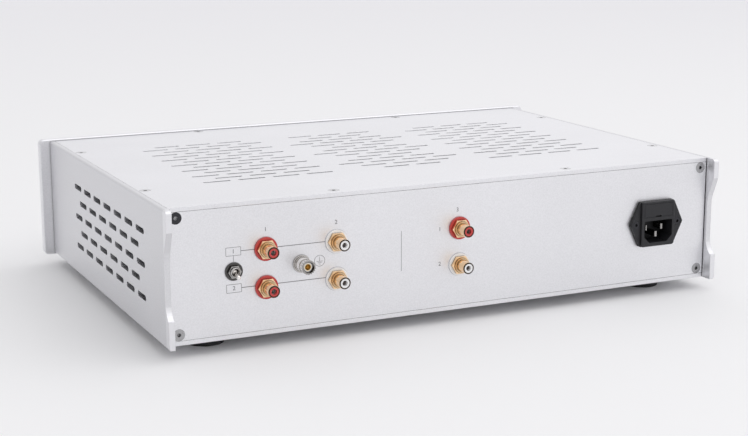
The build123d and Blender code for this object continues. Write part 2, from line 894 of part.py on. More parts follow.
with BuildPart() as jack_inner_washer:
    turn(0, 0, 0, [
        (jack_thread_radius, jack_stack_inner),
        (jack_inner_washer_radius, jack_stack_inner),
        (jack_inner_washer_radius, -rear_thickness),
        (jack_thread_radius, -rear_thickness),
    ])

with BuildPart() as jack_ground_tag:
    with BuildSketch(wall(jack_stack_tag)):
        Circle(jack_tag_radius)
        with Locations((0, -jack_tag_length / 2)):
            Rectangle(jack_tag_width, jack_tag_length)
        Circle(jack_thread_radius, mode=Mode.SUBTRACT)
    extrude(amount=-jack_tag_thickness)

with BuildPart() as jack_nut:
    hexagon(
        0, jack_stack_tag - jack_nut_thickness, 0,
        jack_nut_flats, jack_nut_thickness, jack_thread_radius,
    )

jack_groups = {
    "jack_bodies_right": (jack_body, red_jacks),
    "jack_bodies_left": (jack_body, white_jacks),
    "jack_washers_red": (jack_washer, red_jacks),
    "jack_washers_white": (jack_washer, white_jacks),
    "jack_cores_red": (jack_core, red_jacks),
    "jack_cores_white": (jack_core, white_jacks),
    "jack_contacts": (jack_contact, all_jacks),
    "jack_inner_washers": (jack_inner_washer, all_jacks),
    "jack_ground_tags": (jack_ground_tag, all_jacks),
    "jack_nuts": (jack_nut, all_jacks),
}
for group_name, (single, jacks) in jack_groups.items():
    with BuildPart() as group:
        with Locations(*[(x, rear_y, z) for x, z in jacks.values()]):
            add(single.part)
    group.part.label = group_name
    export_step(group.part, f"parts/{group_name}.step")

# ------------------------------------------------------------------ selector switch
with BuildPart() as selector_case:
    turn(selector_x, rear_y, selector_z, [
        (selector_bore_radius, -rear_thickness),
        (selector_bushing_radius, -rear_thickness),
        (selector_bushing_radius, selector_bushing_reach),
        (selector_mouth_radius, selector_bushing_reach),
        (selector_bore_radius, selector_bushing_reach - selector_mouth_depth),
    ])
    case_y = rear_inner_y - selector_flange_thickness
    with Locations((selector_x, rear_inner_y - selector_flange_thickness / 2, selector_z)):
        Box(
            selector_case_width + 2 * selector_flange_thickness,
            selector_flange_thickness,
            selector_case_height,
        )
    with Locations((selector_x, case_y - selector_case_depth / 2, selector_z)):
        Box(selector_case_width, selector_case_depth, selector_case_height)
    with Locations(rearward(selector_x, rear_inner_y, selector_z)):
        Hole(selector_bore_radius, selector_bore_depth - rear_thickness)
    for row in (-1, 0, 1):
        with Locations((
            selector_x,
            case_y - selector_case_depth - selector_terminal_length / 2,
            selector_z + row * selector_terminal_pitch,
        )):
            Box(
                selector_terminal_width, selector_terminal_length, selector_terminal_thickness
            )
selector_case.part.label = "selector_case"
export_step(selector_case.part, "parts/selector_case.step")

with BuildPart() as selector_lever:
    drop = radians(lever_half_throw)
    pivot = (selector_x, rear_y + lever_pivot_reach, selector_z)
    lever_plane = Plane(origin=pivot, x_dir=(1, 0, 0), z_dir=(0, sin(drop), cos(drop)))
    lever_direction = (0, cos(drop), -sin(drop))
    neck_start = (lever_ball_radius**2 - lever_neck_radius**2) ** 0.5
    finger_start = (lever_ball_radius**2 - lever_finger_radius**2) ** 0.5
    tip_centre = lever_length - lever_tip_radius
    with BuildSketch(lever_plane):
        with BuildLine():
            Line((0, -lever_finger_length), (lever_finger_radius, -lever_finger_length))
            Line((lever_finger_radius, -lever_finger_length), (lever_finger_radius, -finger_start))
            ThreePointArc(
                (lever_finger_radius, -finger_start),
                (lever_ball_radius, 0),
                (lever_neck_radius, neck_start),
            )
            Line((lever_neck_radius, neck_start), (lever_tip_radius, tip_centre))
            ThreePointArc(
                (lever_tip_radius, tip_centre),
                (lever_tip_radius * sin(pi / 4), tip_centre + lever_tip_radius * cos(pi / 4)),
                (0, lever_length),
            )
            Line((0, lever_length), (0, -lever_finger_length))
        make_face()
    revolve(axis=Axis(pivot, lever_direction))
selector_lever.part.label = "selector_lever"
export_step(selector_lever.part, "parts/selector_lever.step")

with BuildPart() as selector_washer:
    turn(selector_x, rear_y, selector_z, [
        (selector_bushing_radius + selector_fit, 0),
        (selector_washer_radius, 0),
        (selector_washer_radius, selector_washer_thickness),
        (selector_bushing_radius + selector_fit, selector_washer_thickness),
    ])
selector_washer.part.label = "selector_washer"
export_step(selector_washer.part, "parts/selector_washer.step")

with BuildPart() as selector_nut:
    hexagon(
        selector_x, rear_y + selector_washer_thickness, selector_z,
        selector_nut_flats, selector_nut_thickness, selector_bushing_radius,
    )
selector_nut.part.label = "selector_nut"
export_step(selector_nut.part, "parts/selector_nut.step")

# ------------------------------------------------------------------ ground terminal
ground_collar_end = ground_base_thickness + ground_collar_thickness
ground_knob_end = ground_collar_end + ground_knob_length

with BuildPart() as ground_post:
    turn(ground_x, rear_y, ground_z, [
        (0, -ground_shank_length),
        (ground_shank_radius, -ground_shank_length),
        (ground_shank_radius, 0),
        (ground_base_radius, 0),
        (ground_base_radius, ground_base_thickness),
        (ground_stud_radius, ground_base_thickness),
        (ground_stud_radius, ground_stud_reach),
        (ground_socket_radius, ground_stud_reach),
        (ground_socket_radius, ground_stud_reach - ground_socket_depth),
        (0, ground_stud_reach - ground_socket_depth),
    ])
ground_post.part.label = "ground_post"
export_step(ground_post.part, "parts/ground_post.step")

with BuildPart() as ground_collar:
    turn(ground_x, rear_y, ground_z, [
        (ground_stud_radius + ground_fit, ground_base_thickness),
        (ground_collar_radius, ground_base_thickness),
        (ground_collar_radius, ground_collar_end),
        (ground_stud_radius + ground_fit, ground_collar_end),
    ])
ground_collar.part.label = "ground_collar"
export_step(ground_collar.part, "parts/ground_collar.step")

with BuildPart() as ground_knob:
    turn(ground_x, rear_y, ground_z, [
        (ground_stud_radius + ground_fit, ground_collar_end),
        (ground_knob_radius, ground_collar_end),
        (ground_knob_radius, ground_knob_end - ground_flute_length - ground_waist_length),
        (ground_waist_radius, ground_knob_end - ground_flute_length - ground_waist_length),
        (ground_waist_radius, ground_knob_end - ground_flute_length),
        (ground_knob_radius, ground_knob_end - ground_flute_length),
        (ground_knob_radius, ground_knob_end),
        (ground_knob_cup_radius, ground_knob_end),
        (ground_knob_cup_radius, ground_knob_end - ground_knob_cup_depth),
        (ground_stud_radius + ground_fit, ground_knob_end - ground_knob_cup_depth),
    ])
    with BuildSketch(wall(rear_y + ground_knob_end)):
        with Locations((ground_x, ground_z)):
            with PolarLocations(ground_knob_radius, ground_flute_count):
                Circle(ground_flute_radius)
    extrude(amount=ground_flute_length, mode=Mode.SUBTRACT)
ground_knob.part.label = "ground_knob"
export_step(ground_knob.part, "parts/ground_knob.step")

with BuildPart() as ground_nut:
    hexagon(
        ground_x, rear_inner_y - ground_nut_thickness, ground_z,
        ground_nut_flats, ground_nut_thickness, ground_shank_radius,
    )
ground_nut.part.label = "ground_nut"
export_step(ground_nut.part, "parts/ground_nut.step")

# ------------------------------------------------------------------ mains inlet
inlet_front_y = rear_y + inlet_block_reach
inlet_low_z = inlet_z - inlet_flange_height / 2
inlet_back_y = rear_y - inlet_box_depth
blade_floor_y = inlet_front_y - socket_depth
socket_z = inlet_low_z + socket_rise + socket_height / 2
socket_low_z = inlet_low_z + socket_rise
drawer_low_z = inlet_low_z + drawer_rise
drawer_z = drawer_low_z + drawer_height / 2
fuse_cap_radius = fuse_radius + fuse_cap_wall
fuse_pocket_radius = fuse_cap_radius + fuse_seat_gap
drawer_depth = drawer_face_thickness + 4 * fuse_pocket_radius + 2 * drawer_wall
spare_fuse_y = inlet_front_y - drawer_face_thickness - fuse_pocket_radius
live_fuse_y = spare_fuse_y - 2 * fuse_pocket_radius - drawer_wall
fuse_z = drawer_low_z + drawer_wall + fuse_pocket_radius
blade_places = {
    "live": (inlet_x + blade_spacing / 2, socket_low_z + line_blade_rise, line_blade_setback),
    "neutral": (inlet_x - blade_spacing / 2, socket_low_z + line_blade_rise, line_blade_setback),
    "earth": (inlet_x, socket_low_z + earth_blade_rise, earth_blade_setback),
}

with BuildPart() as inlet_housing:
    with BuildSketch(wall(rear_y, inlet_x, inlet_z)):
        with BuildLine():
            Polyline(
                (-inlet_flange_width / 2, 0),
                (-inlet_flange_flat / 2, -inlet_flange_height / 2),
                (inlet_flange_flat / 2, -inlet_flange_height / 2),
                (inlet_flange_width / 2, 0),
                (inlet_flange_flat / 2, inlet_flange_height / 2),
                (-inlet_flange_flat / 2, inlet_flange_height / 2),
                close=True,
            )
        make_face()
        fillet(vertices(), inlet_corner_radius)
    extrude(amount=-inlet_flange_thickness)
    with BuildSketch(wall(rear_y)):
        with Locations((inlet_x, inlet_z)):
            RectangleRounded(inlet_block_width, inlet_flange_height, inlet_corner_radius)
    extrude(amount=-inlet_block_reach)
    front_face = inlet_housing.faces().sort_by(Axis.Y)[-1]
    fillet(front_face.edges(), inlet_block_round)
    with BuildSketch(wall(rear_y)):
        with Locations((inlet_x, inlet_z)):
            Rectangle(inlet_box_width, inlet_box_height)
    extrude(amount=inlet_box_depth)
    with BuildSketch(wall(inlet_front_y)):
        with Locations((inlet_x, socket_z)):
            Rectangle(socket_width, socket_height)
        low_corners = vertices().group_by(Axis.Y)[0]
        chamfer(low_corners, socket_chamfer)
        high_corners = vertices().group_by(Axis.Y)[-1]
        fillet(high_corners, socket_corner_radius)
    extrude(amount=socket_depth, mode=Mode.SUBTRACT)
    with BuildSketch(wall(inlet_front_y)):
        with Locations((inlet_x, drawer_z)):
            Rectangle(drawer_width + 2 * drawer_fit, drawer_height + 2 * drawer_fit)
    extrude(amount=drawer_depth + drawer_fit, mode=Mode.SUBTRACT)
    with BuildSketch(wall(inlet_back_y)):
        for x, z, setback in blade_places.values():
            with Locations((x, z)):
                Rectangle(blade_width, blade_height)
    extrude(amount=inlet_back_y - blade_floor_y, mode=Mode.SUBTRACT)
    with Locations(*[
        rearward(x, rear_y + inlet_flange_thickness, z) for x, z in inlet_screw_places
    ]):
        CounterSinkHole(
            m3_radius + clearance_hole_extra, m3_sink_radius, inlet_flange_thickness, 90
        )
inlet_housing.part.label = "inlet_housing"
export_step(inlet_housing.part, "parts/inlet_housing.step")

with BuildPart() as inlet_blades:
    for x, z, setback in blade_places.values():
        tip_y = inlet_front_y - setback
        half_width = blade_width / 2
        with BuildSketch(Plane.XY.offset(z)):
            with BuildLine():
                Polyline(
                    (x - half_width, inlet_back_y),
                    (x + half_width, inlet_back_y),
                    (x + half_width, tip_y - blade_tip_chamfer),
                    (x + half_width - blade_tip_chamfer, tip_y),
                    (x - half_width + blade_tip_chamfer, tip_y),
                    (x - half_width, tip_y - blade_tip_chamfer),
                    close=True,
                )
            make_face()
        extrude(amount=blade_height / 2, both=True)
        with Locations((x, inlet_back_y - blade_tab_length / 2, z)):
            Box(blade_tab_thickness, blade_tab_length, blade_tab_width)
inlet_blades.part.label = "inlet_blades"
export_step(inlet_blades.part, "parts/inlet_blades.step")

with BuildPart() as inlet_screws:
    with Locations(*[
        rearward(x, rear_y + inlet_flange_thickness, z) for x, z in inlet_screw_places
    ]):
        add(flat_head_screw(
            m3_flat_head_radius, m3_radius, inlet_screw_length, m3_socket_flats, m3_socket_depth
        ))
inlet_screws.part.label = "inlet_screws"
export_step(inlet_screws.part, "parts/inlet_screws.step")

with BuildPart() as fuse_drawer:
    with Locations((inlet_x, inlet_front_y - drawer_depth / 2, drawer_z)):
        Box(drawer_width, drawer_depth, drawer_height)
    for fuse_y in (spare_fuse_y, live_fuse_y):
        with BuildSketch(Plane.YZ.offset(inlet_x)):
            with Locations((fuse_y, fuse_z)):
                Circle(fuse_pocket_radius)
            with Locations((fuse_y, (fuse_z + drawer_low_z + drawer_height) / 2)):
                Rectangle(2 * fuse_pocket_radius, drawer_low_z + drawer_height - fuse_z)
        extrude(amount=fuse_length / 2 + fuse_seat_gap, both=True, mode=Mode.SUBTRACT)
    with Locations((
        inlet_x,
        inlet_front_y - drawer_grip_depth / 2,
        drawer_low_z + drawer_grip_height / 2,
    )):
        Box(drawer_grip_width, drawer_grip_depth, drawer_grip_height, mode=Mode.SUBTRACT)
fuse_drawer.part.label = "fuse_drawer"
export_step(fuse_drawer.part, "parts/fuse_drawer.step")

with BuildPart() as fuse_tubes:
    for fuse_y in (spare_fuse_y, live_fuse_y):
        with BuildSketch(Plane.YZ.offset(inlet_x)):
            with Locations((fuse_y, fuse_z)):
                Circle(fuse_radius)
                Circle(fuse_bore_radius, mode=Mode.SUBTRACT)
        extrude(amount=fuse_length / 2 - fuse_cap_wall, both=True)
fuse_tubes.part.label = "fuse_tubes"
export_step(fuse_tubes.part, "parts/fuse_tubes.step")

with BuildPart() as fuse_caps:
    for fuse_y in (spare_fuse_y, live_fuse_y):
        for side in (-1, 1):
            outer_x = inlet_x + side * fuse_length / 2
            with BuildSketch(Plane.YZ.offset(outer_x)):
                with Locations((fuse_y, fuse_z)):
                    Circle(fuse_cap_radius)
            extrude(amount=-side * fuse_cap_length)
            with BuildSketch(Plane.YZ.offset(outer_x - side * fuse_cap_wall)):
                with Locations((fuse_y, fuse_z)):
                    Circle(fuse_radius)
            extrude(amount=-side * fuse_cap_length, mode=Mode.SUBTRACT)
fuse_caps.part.label = "fuse_caps"
export_step(fuse_caps.part, "parts/fuse_caps.step")

# ------------------------------------------------------------------ power button and lamp
button_bore_radius = button_radius + button_gap
stem_end_y = face_y - button_reach + button_length + button_stem_length
switch_front_y = face_y + bezel_tube_length
switch_back_y = switch_front_y + switch_body_length

with BuildPart() as power_bezel:
    turn(button_x, face_y, button_z, [
        (button_bore_radius, -bezel_reach),
        (bezel_radius, -bezel_reach),
        (bezel_radius, 0),
        (bezel_tube_radius, 0),
        (bezel_tube_radius, bezel_tube_length),
        (button_bore_radius, bezel_tube_length),
    ])
    rim = power_bezel.faces().sort_by(Axis.Y)[0].edges()
    chamfer(rim, bezel_rim_chamfer)
power_bezel.part.label = "power_bezel"
export_step(power_bezel.part, "parts/power_bezel.step")

with BuildPart() as power_button:
    button_back = button_length - button_reach
    turn(button_x, face_y, button_z, [
        (0, -button_reach),
        (button_radius, -button_reach),
        (button_radius, button_back),
        (button_stem_radius, button_back),
        (button_stem_radius, button_back + button_stem_length),
        (0, button_back + button_stem_length),
    ])
    rim = power_button.faces().sort_by(Axis.Y)[0].edges()
    fillet(rim, button_edge_round)
power_button.part.label = "power_button"
export_step(power_button.part, "parts/power_button.step")

with BuildPart() as power_nut:
    hexagon(
        button_x, front_y, button_z, bezel_nut_flats, bezel_nut_thickness, bezel_tube_radius
    )
power_nut.part.label = "power_nut"
export_step(power_nut.part, "parts/power_nut.step")

with BuildPart() as power_switch:
    stem_pocket_end = stem_end_y + button_travel + button_stem_gap
    turn(button_x, switch_front_y, button_z, [
        (button_stem_radius + button_stem_gap, 0),
        (switch_body_radius, 0),
        (switch_body_radius, switch_body_length),
        (0, switch_body_length),
        (0, stem_pocket_end - switch_front_y),
        (button_stem_radius + button_stem_gap, stem_pocket_end - switch_front_y),
    ])
    with Locations((button_x, switch_back_y + switch_terminal_length / 2, button_z)):
        with Locations(*[
            (sx * switch_terminal_spacing / 2, 0, sz * switch_terminal_spacing / 2)
            for sx in (-1, 1) for sz in (-1, 1)
        ]):
            Box(blade_tab_thickness, switch_terminal_length, switch_terminal_width)
power_switch.part.label = "power_switch"
export_step(power_switch.part, "parts/power_switch.step")

with BuildPart() as power_lamp:
    turn(lamp_x, face_y, button_z, [
        (0, -lamp_dome_reach),
        (lamp_radius, 0),
        (lamp_radius, front_thickness),
        (lamp_flange_radius, front_thickness),
        (lamp_flange_radius, front_thickness + lamp_flange_length),
        (0, front_thickness + lamp_flange_length),
    ])
    with Locations((
        lamp_x, front_y + lamp_flange_length + lamp_lead_length / 2, button_z
    )):
        with Locations(*[(sx * lamp_lead_spacing / 2, 0, 0) for sx in (-1, 1)]):
            Box(lamp_lead_width, lamp_lead_length, lamp_lead_width)
power_lamp.part.label = "power_lamp"
export_step(power_lamp.part, "parts/power_lamp.step")

# ------------------------------------------------------------------ circuit boards
board_low_z = floor_z + standoff_height
board_top_z = board_low_z + board_thickness
boards = {
    "preamp_board": (preamp_board_x, preamp_board_y, preamp_board_width, preamp_board_depth),
    "supply_board": (supply_board_x, supply_board_y, supply_board_width, supply_board_depth),
}
board_screw_places = [
    (x + sx * (width / 2 - board_hole_inset), y + sy * (depth / 2 - board_hole_inset))
    for x, y, width, depth in boards.values() for sx in (-1, 1) for sy in (-1, 1)
]

for board_name, (x, y, width, depth) in boards.items():
    with BuildPart() as board:
        with Locations((x, y, board_low_z + board_thickness / 2)):
            Box(width, depth, board_thickness)
            with GridLocations(width - 2 * board_hole_inset, depth - 2 * board_hole_inset, 2, 2):
                Hole(m3_radius + clearance_hole_extra, board_thickness)
    board.part.label = board_name
    export_step(board.part, f"parts/{board_name}.step")

with BuildPart() as board_standoffs:
    for x, y in board_screw_places:
        with BuildSketch(Plane.XY.offset(floor_z)):
            with Locations((x, y)):
                RegularPolygon(radius=standoff_flats / 2, side_count=6, major_radius=False)
        extrude(amount=standoff_height)
        with Locations((x, y, floor_z - standoff_stud_length / 2)):
            Cylinder(m3_radius, standoff_stud_length)
        with Locations((x, y, board_low_z)):
            Hole(m3_tapped_radius, standoff_thread_depth)
board_standoffs.part.label = "board_standoffs"
export_step(board_standoffs.part, "parts/board_standoffs.step")

with BuildPart() as board_screws:
    with Locations(*[(x, y, board_top_z) for x, y in board_screw_places]):
        add(cap_screw(m3_pan_head_radius, m3_pan_head_height, m3_radius, board_screw_length))
board_screws.part.label = "board_screws"
export_step(board_screws.part, "parts/board_screws.step")


def block(x, y, width, depth, height):
    """Adds a rectangular component standing on the boards' upper face to the open part."""
    with Locations((x, y, board_top_z + height / 2)):
        Box(width, depth, height)


def can(x, y, radius, height):
    """Adds a round component standing on the boards' upper face to the open part."""
    with Locations((x, y, board_top_z + height / 2)):
        Cylinder(radius, height)


supply_block_y = supply_front_y + terminal_block_depth / 2
sink_y = supply_rear_y - sink_base_thickness - sink_fin_length
with BuildPart() as supply_parts:
    block(
        supply_board_x, supply_block_y,
        6 * terminal_block_pitch, terminal_block_depth, terminal_block_height,
    )
    block(
        supply_right_x - terminal_block_depth / 2, supply_board_y,
        terminal_block_depth, 4 * terminal_block_pitch, terminal_block_height,
    )
    block(
        supply_left_x + reservoir_pitch, supply_board_y,
        rectifier_thickness, rectifier_width, rectifier_height,
    )
    for column in (-1, 0, 1):
        for row in (-1, 1):
            can(
                supply_board_x + column * reservoir_pitch,
                supply_board_y - reservoir_setback + row * reservoir_pitch / 2,
                reservoir_radius, reservoir_height,
            )
    for side in (-1, 1):
        sink_x = supply_board_x + side * sink_width
        block(sink_x, sink_y, sink_width, sink_base_thickness, sink_height)
        fin_y = sink_y + (sink_base_thickness + sink_fin_length) / 2
        fin_pitch = (sink_width - sink_fin_thickness) / (sink_fin_count - 1)
        with Locations((sink_x, fin_y, board_top_z + sink_height / 2)):
            with GridLocations(fin_pitch, 0, sink_fin_count, 1):
                Box(sink_fin_thickness, sink_fin_length, sink_height)
        block(
            sink_x, sink_y - (sink_base_thickness + regulator_thickness) / 2,
            regulator_width, regulator_thickness, regulator_height,
        )
supply_parts.part.label = "supply_parts"
export_step(supply_parts.part, "parts/supply_parts.step")

output_block_x = preamp_left_x + preamp_board_width / 6
with BuildPart() as preamp_parts:
    for x in (input_right_x, input_left_x, output_block_x):
        block(
            x, preamp_rear_y - terminal_block_depth / 2,
            4 * terminal_block_pitch, terminal_block_depth, terminal_block_height,
        )
    block(
        preamp_left_x + terminal_block_depth / 2, preamp_board_y,
        terminal_block_depth, 3 * terminal_block_pitch, terminal_block_height,
    )
    for side in (-1, 1):
        channel_x = preamp_board_x + side * preamp_board_width / 4
        block(
            channel_x, preamp_rear_y - 2 * relay_length,
            relay_length, relay_width, relay_height,
        )
        for step in (-1, 0, 1):
            row_y = preamp_board_y + step * 3 * film_capacitor_pitch - film_capacitor_pitch
            block(channel_x, row_y, amplifier_length, amplifier_width, amplifier_height)
            for offset in (-1, 1):
                block(
                    channel_x + offset * 2 * film_capacitor_pitch, row_y,
                    film_capacitor_width, film_capacitor_length, film_capacitor_height,
                )
            can(
                channel_x, row_y - film_capacitor_pitch, coupling_radius, coupling_height
            )
preamp_parts.part.label = "preamp_parts"
export_step(preamp_parts.part, "parts/preamp_parts.step")

# ------------------------------------------------------------------ transformer
transformer_low_z = floor_z + transformer_pad_thickness
transformer_high_z = transformer_low_z + transformer_height
dish_seat_z = transformer_high_z - transformer_dish_cup_depth
dish_cup_z = dish_seat_z + transformer_dish_thickness
clamp_top_z = dish_cup_z + transformer_nut_height

with BuildPart() as transformer:
    with BuildSketch(Plane(
        origin=(transformer_x, transformer_y, 0), x_dir=(1, 0, 0), z_dir=(0, -1, 0)
    )):
        with Locations((
            (transformer_hole_radius + transformer_radius) / 2,
            transformer_low_z + transformer_height / 2,
        )):
            Rectangle(transformer_radius - transformer_hole_radius, transformer_height)
        chamfer(vertices(), transformer_bevel)
    revolve(axis=Axis((transformer_x, transformer_y, 0), (0, 0, 1)))
transformer.part.label = "transformer"
export_step(transformer.part, "parts/transformer.step")

with BuildPart() as transformer_pad:
    with Locations((transformer_x, transformer_y, floor_z + transformer_pad_thickness / 2)):
        Cylinder(transformer_radius, transformer_pad_thickness)
        Hole(transformer_bolt_radius + clearance_hole_extra, transformer_pad_thickness)
transformer_pad.part.label = "transformer_pad"
export_step(transformer_pad.part, "parts/transformer_pad.step")

with BuildPart() as transformer_clamp:
    bolt_hole_radius = transformer_bolt_radius + clearance_hole_extra
    with BuildSketch(Plane(
        origin=(transformer_x, transformer_y, 0), x_dir=(1, 0, 0), z_dir=(0, -1, 0)
    )):
        with BuildLine():
            Polyline(
                (bolt_hole_radius, dish_seat_z),
                (transformer_dish_cup_radius, dish_seat_z),
                (transformer_hole_radius, transformer_high_z),
                (transformer_dish_radius, transformer_high_z),
                (transformer_dish_radius, transformer_high_z + transformer_dish_thickness),
                (transformer_hole_radius, transformer_high_z + transformer_dish_thickness),
                (transformer_dish_cup_radius, dish_cup_z),
                (bolt_hole_radius, dish_cup_z),
                close=True,
            )
        make_face()
    revolve(axis=Axis((transformer_x, transformer_y, 0), (0, 0, 1)))
    with BuildSketch(Plane.XY.offset(dish_cup_z)):
        with Locations((transformer_x, transformer_y)):
            RegularPolygon(
                radius=transformer_bolt_head_flats / 2, side_count=6, major_radius=False
            )
            Circle(transformer_bolt_radius, mode=Mode.SUBTRACT)
    extrude(amount=transformer_nut_height)
transformer_clamp.part.label = "transformer_clamp"
export_step(transformer_clamp.part, "parts/transformer_clamp.step")

with BuildPart() as transformer_bolt:
    with Locations((transformer_x, transformer_y, base_z)):
        with Locations((0, 0, (clamp_top_z - base_z) / 2)):
            Cylinder(transformer_bolt_radius, clamp_top_z - base_z)
    with BuildSketch(Plane.XY.offset(base_z)):
        with Locations((transformer_x, transformer_y)):
            RegularPolygon(
                radius=transformer_bolt_head_flats / 2, side_count=6, major_radius=False
            )
    extrude(amount=-transformer_bolt_head_height)
transformer_bolt.part.label = "transformer_bolt"
export_step(transformer_bolt.part, "parts/transformer_bolt.step")

# ------------------------------------------------------------------ wiring
block_z = board_top_z + terminal_block_height / 2
tab_end_y = inlet_back_y - blade_tab_length
switch_end_y = switch_back_y + switch_terminal_length
coil_left_x = transformer_x - transformer_radius - lead_end_gap
coil_rear_y = transformer_y + transformer_radius + lead_end_gap
coil_tail_z = transformer_low_z + transformer_height / 2
coil_high_z = coil_tail_z + terminal_block_pitch
coil_low_z = coil_tail_z - terminal_block_pitch
run_x = lead_run_from_side - half_inner
outer_run_x = run_x - lead_run_spread
run_z = coil_high_z + 2 * terminal_block_pitch
live_x, live_z = blade_places["live"][:2]
neutral_x, neutral_z = blade_places["neutral"][:2]
earth_x, earth_z = blade_places["earth"][:2]
switch_lead_x = button_x + switch_terminal_spacing / 2
switch_high_z = button_z + switch_terminal_spacing / 2
switch_low_z = button_z - switch_terminal_spacing / 2

with BuildPart() as power_leads:
    lead(
        mains_lead_width,
        (live_x, tab_end_y, live_z),
        (live_x, tab_end_y - tail_straight_length, live_z),
        (run_x, supply_front_y, run_z),
        (run_x, transformer_y, run_z),
        (switch_lead_x, switch_end_y + tail_straight_length, switch_high_z),
        (switch_lead_x, switch_end_y, switch_high_z),
    )
    lead(
        mains_lead_width,
        (neutral_x, tab_end_y, neutral_z),
        (neutral_x, tab_end_y - tail_straight_length, neutral_z),
        (outer_run_x, supply_front_y, coil_high_z),
        (outer_run_x, transformer_y + transformer_radius, coil_high_z),
        (run_x, transformer_y, coil_high_z),
        (coil_left_x, transformer_y, coil_high_z),
    )
    lead(
        mains_lead_width,
        (switch_lead_x, switch_end_y, switch_low_z),
        (switch_lead_x, switch_end_y + tail_straight_length, switch_low_z),
        (switch_lead_x, transformer_y, coil_low_z),
        (coil_left_x, transformer_y, coil_low_z),
    )
    lead(
        mains_lead_width,
        (earth_x, tab_end_y, earth_z),
        (earth_x, tab_end_y - tail_straight_length, earth_z),
        (earth_x, tab_end_y - tail_straight_length - lead_straight_length, coil_tail_z),
        (earth_x, tab_end_y - tail_straight_length - lead_straight_length, floor_z),
    )
    coil_run = (supply_front_y - coil_rear_y) / 3
    for step in (-1, 0, 1):
        start_x = transformer_x + step * terminal_block_pitch
        end_x = supply_board_x + step * terminal_block_pitch
        start_y = supply_board_y + step * terminal_block_pitch
        end_y = preamp_board_y + step * terminal_block_pitch
        lead(
            mains_lead_width,
            (start_x, coil_rear_y, coil_tail_z),
            (start_x, coil_rear_y + coil_run, coil_tail_z),
            (end_x, supply_front_y - coil_run, block_z),
            (end_x, supply_front_y, block_z),
        )
        lead(
            mains_lead_width,
            (supply_right_x, start_y, block_z),
            (supply_right_x + bundle_margin + bundle_pitch * step, start_y, block_z),
            (preamp_left_x - bundle_margin + bundle_pitch * step, end_y, block_z),
            (preamp_left_x, end_y, block_z),
        )
power_leads.part.label = "power_leads"
export_step(power_leads.part, "parts/power_leads.step")

jack_tail_y = rear_y + jack_core_back - jack_tail_length
selector_tail_y = case_y - selector_case_depth - selector_terminal_length
half_pitch = terminal_block_pitch / 2
signal_runs = [
    (input_right_x, base_z + upper_row_height, jack_tail_y, input_right_x - half_pitch),
    (input_right_x, base_z + lower_row_height, jack_tail_y, input_right_x + half_pitch),
    (input_left_x, base_z + upper_row_height, jack_tail_y, input_left_x - half_pitch),
    (input_left_x, base_z + lower_row_height, jack_tail_y, input_left_x + half_pitch),
    (output_x, base_z + upper_row_height, jack_tail_y, output_block_x - half_pitch),
    (output_x, base_z + lower_row_height, jack_tail_y, output_block_x - 3 * half_pitch),
    (selector_x, selector_z, selector_tail_y, input_right_x + 3 * half_pitch),
    (ground_x, ground_z, rear_y - ground_shank_length, input_left_x + 3 * half_pitch),
]
with BuildPart() as signal_leads:
    for start_x, start_z, start_y, end_x in signal_runs:
        lead(
            signal_lead_width,
            (start_x, start_y, start_z),
            (start_x, start_y - lead_straight_length, start_z),
            (end_x, preamp_rear_y + lead_straight_length, block_z),
            (end_x, preamp_rear_y, block_z),
        )
signal_leads.part.label = "signal_leads"
export_step(signal_leads.part, "parts/signal_leads.step")
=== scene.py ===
"""Finishes, printing, small trim and studio for a phono preamplifier in an aluminium case.

Everything is in metres, in the frame of the construction model: +Z is up, the rear panel
faces +Y and the front panel faces -Y.
"""

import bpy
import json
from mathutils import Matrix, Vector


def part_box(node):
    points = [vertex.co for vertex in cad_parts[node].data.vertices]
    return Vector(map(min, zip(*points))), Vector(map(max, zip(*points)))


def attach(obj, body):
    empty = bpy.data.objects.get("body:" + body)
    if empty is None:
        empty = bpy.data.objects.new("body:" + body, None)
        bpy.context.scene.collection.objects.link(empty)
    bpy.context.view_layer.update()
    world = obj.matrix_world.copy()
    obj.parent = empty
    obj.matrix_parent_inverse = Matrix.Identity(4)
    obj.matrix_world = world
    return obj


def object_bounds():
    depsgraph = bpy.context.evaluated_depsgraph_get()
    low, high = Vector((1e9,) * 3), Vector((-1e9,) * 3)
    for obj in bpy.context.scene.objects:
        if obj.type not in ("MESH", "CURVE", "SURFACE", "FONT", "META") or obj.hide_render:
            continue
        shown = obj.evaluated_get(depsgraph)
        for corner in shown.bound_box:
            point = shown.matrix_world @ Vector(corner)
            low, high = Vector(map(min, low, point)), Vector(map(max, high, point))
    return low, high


bl_info = {
    "name": "Phono preamplifier",
    "version": (1, 0, 0),
    "blender": (4, 5, 0),
    "location": "View3D > Sidebar > Preamp",
    "description": "Dresses the construction model of a phono preamplifier",
    "category": "Object",
}

import json
from math import atan, cos, pi, radians, sin

import bpy
from bpy.props import FloatProperty, FloatVectorProperty, PointerProperty
from mathutils import Matrix, Vector

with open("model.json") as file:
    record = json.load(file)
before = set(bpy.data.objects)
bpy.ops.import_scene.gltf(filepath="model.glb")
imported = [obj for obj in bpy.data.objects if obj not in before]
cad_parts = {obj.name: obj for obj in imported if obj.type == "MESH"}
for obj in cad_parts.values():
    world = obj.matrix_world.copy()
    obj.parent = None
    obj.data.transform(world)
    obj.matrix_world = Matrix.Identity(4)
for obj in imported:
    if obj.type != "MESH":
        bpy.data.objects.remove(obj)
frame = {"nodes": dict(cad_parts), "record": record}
CAD_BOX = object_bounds()
NODES = frame["nodes"]
MOUNTS = {mount["name"]: Vector(mount["pos_m"]) for mount in frame["record"]["mounts"]}

MM = 0.001
CHASSIS = "chassis"
REAR_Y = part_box("rear_panel")[1].y

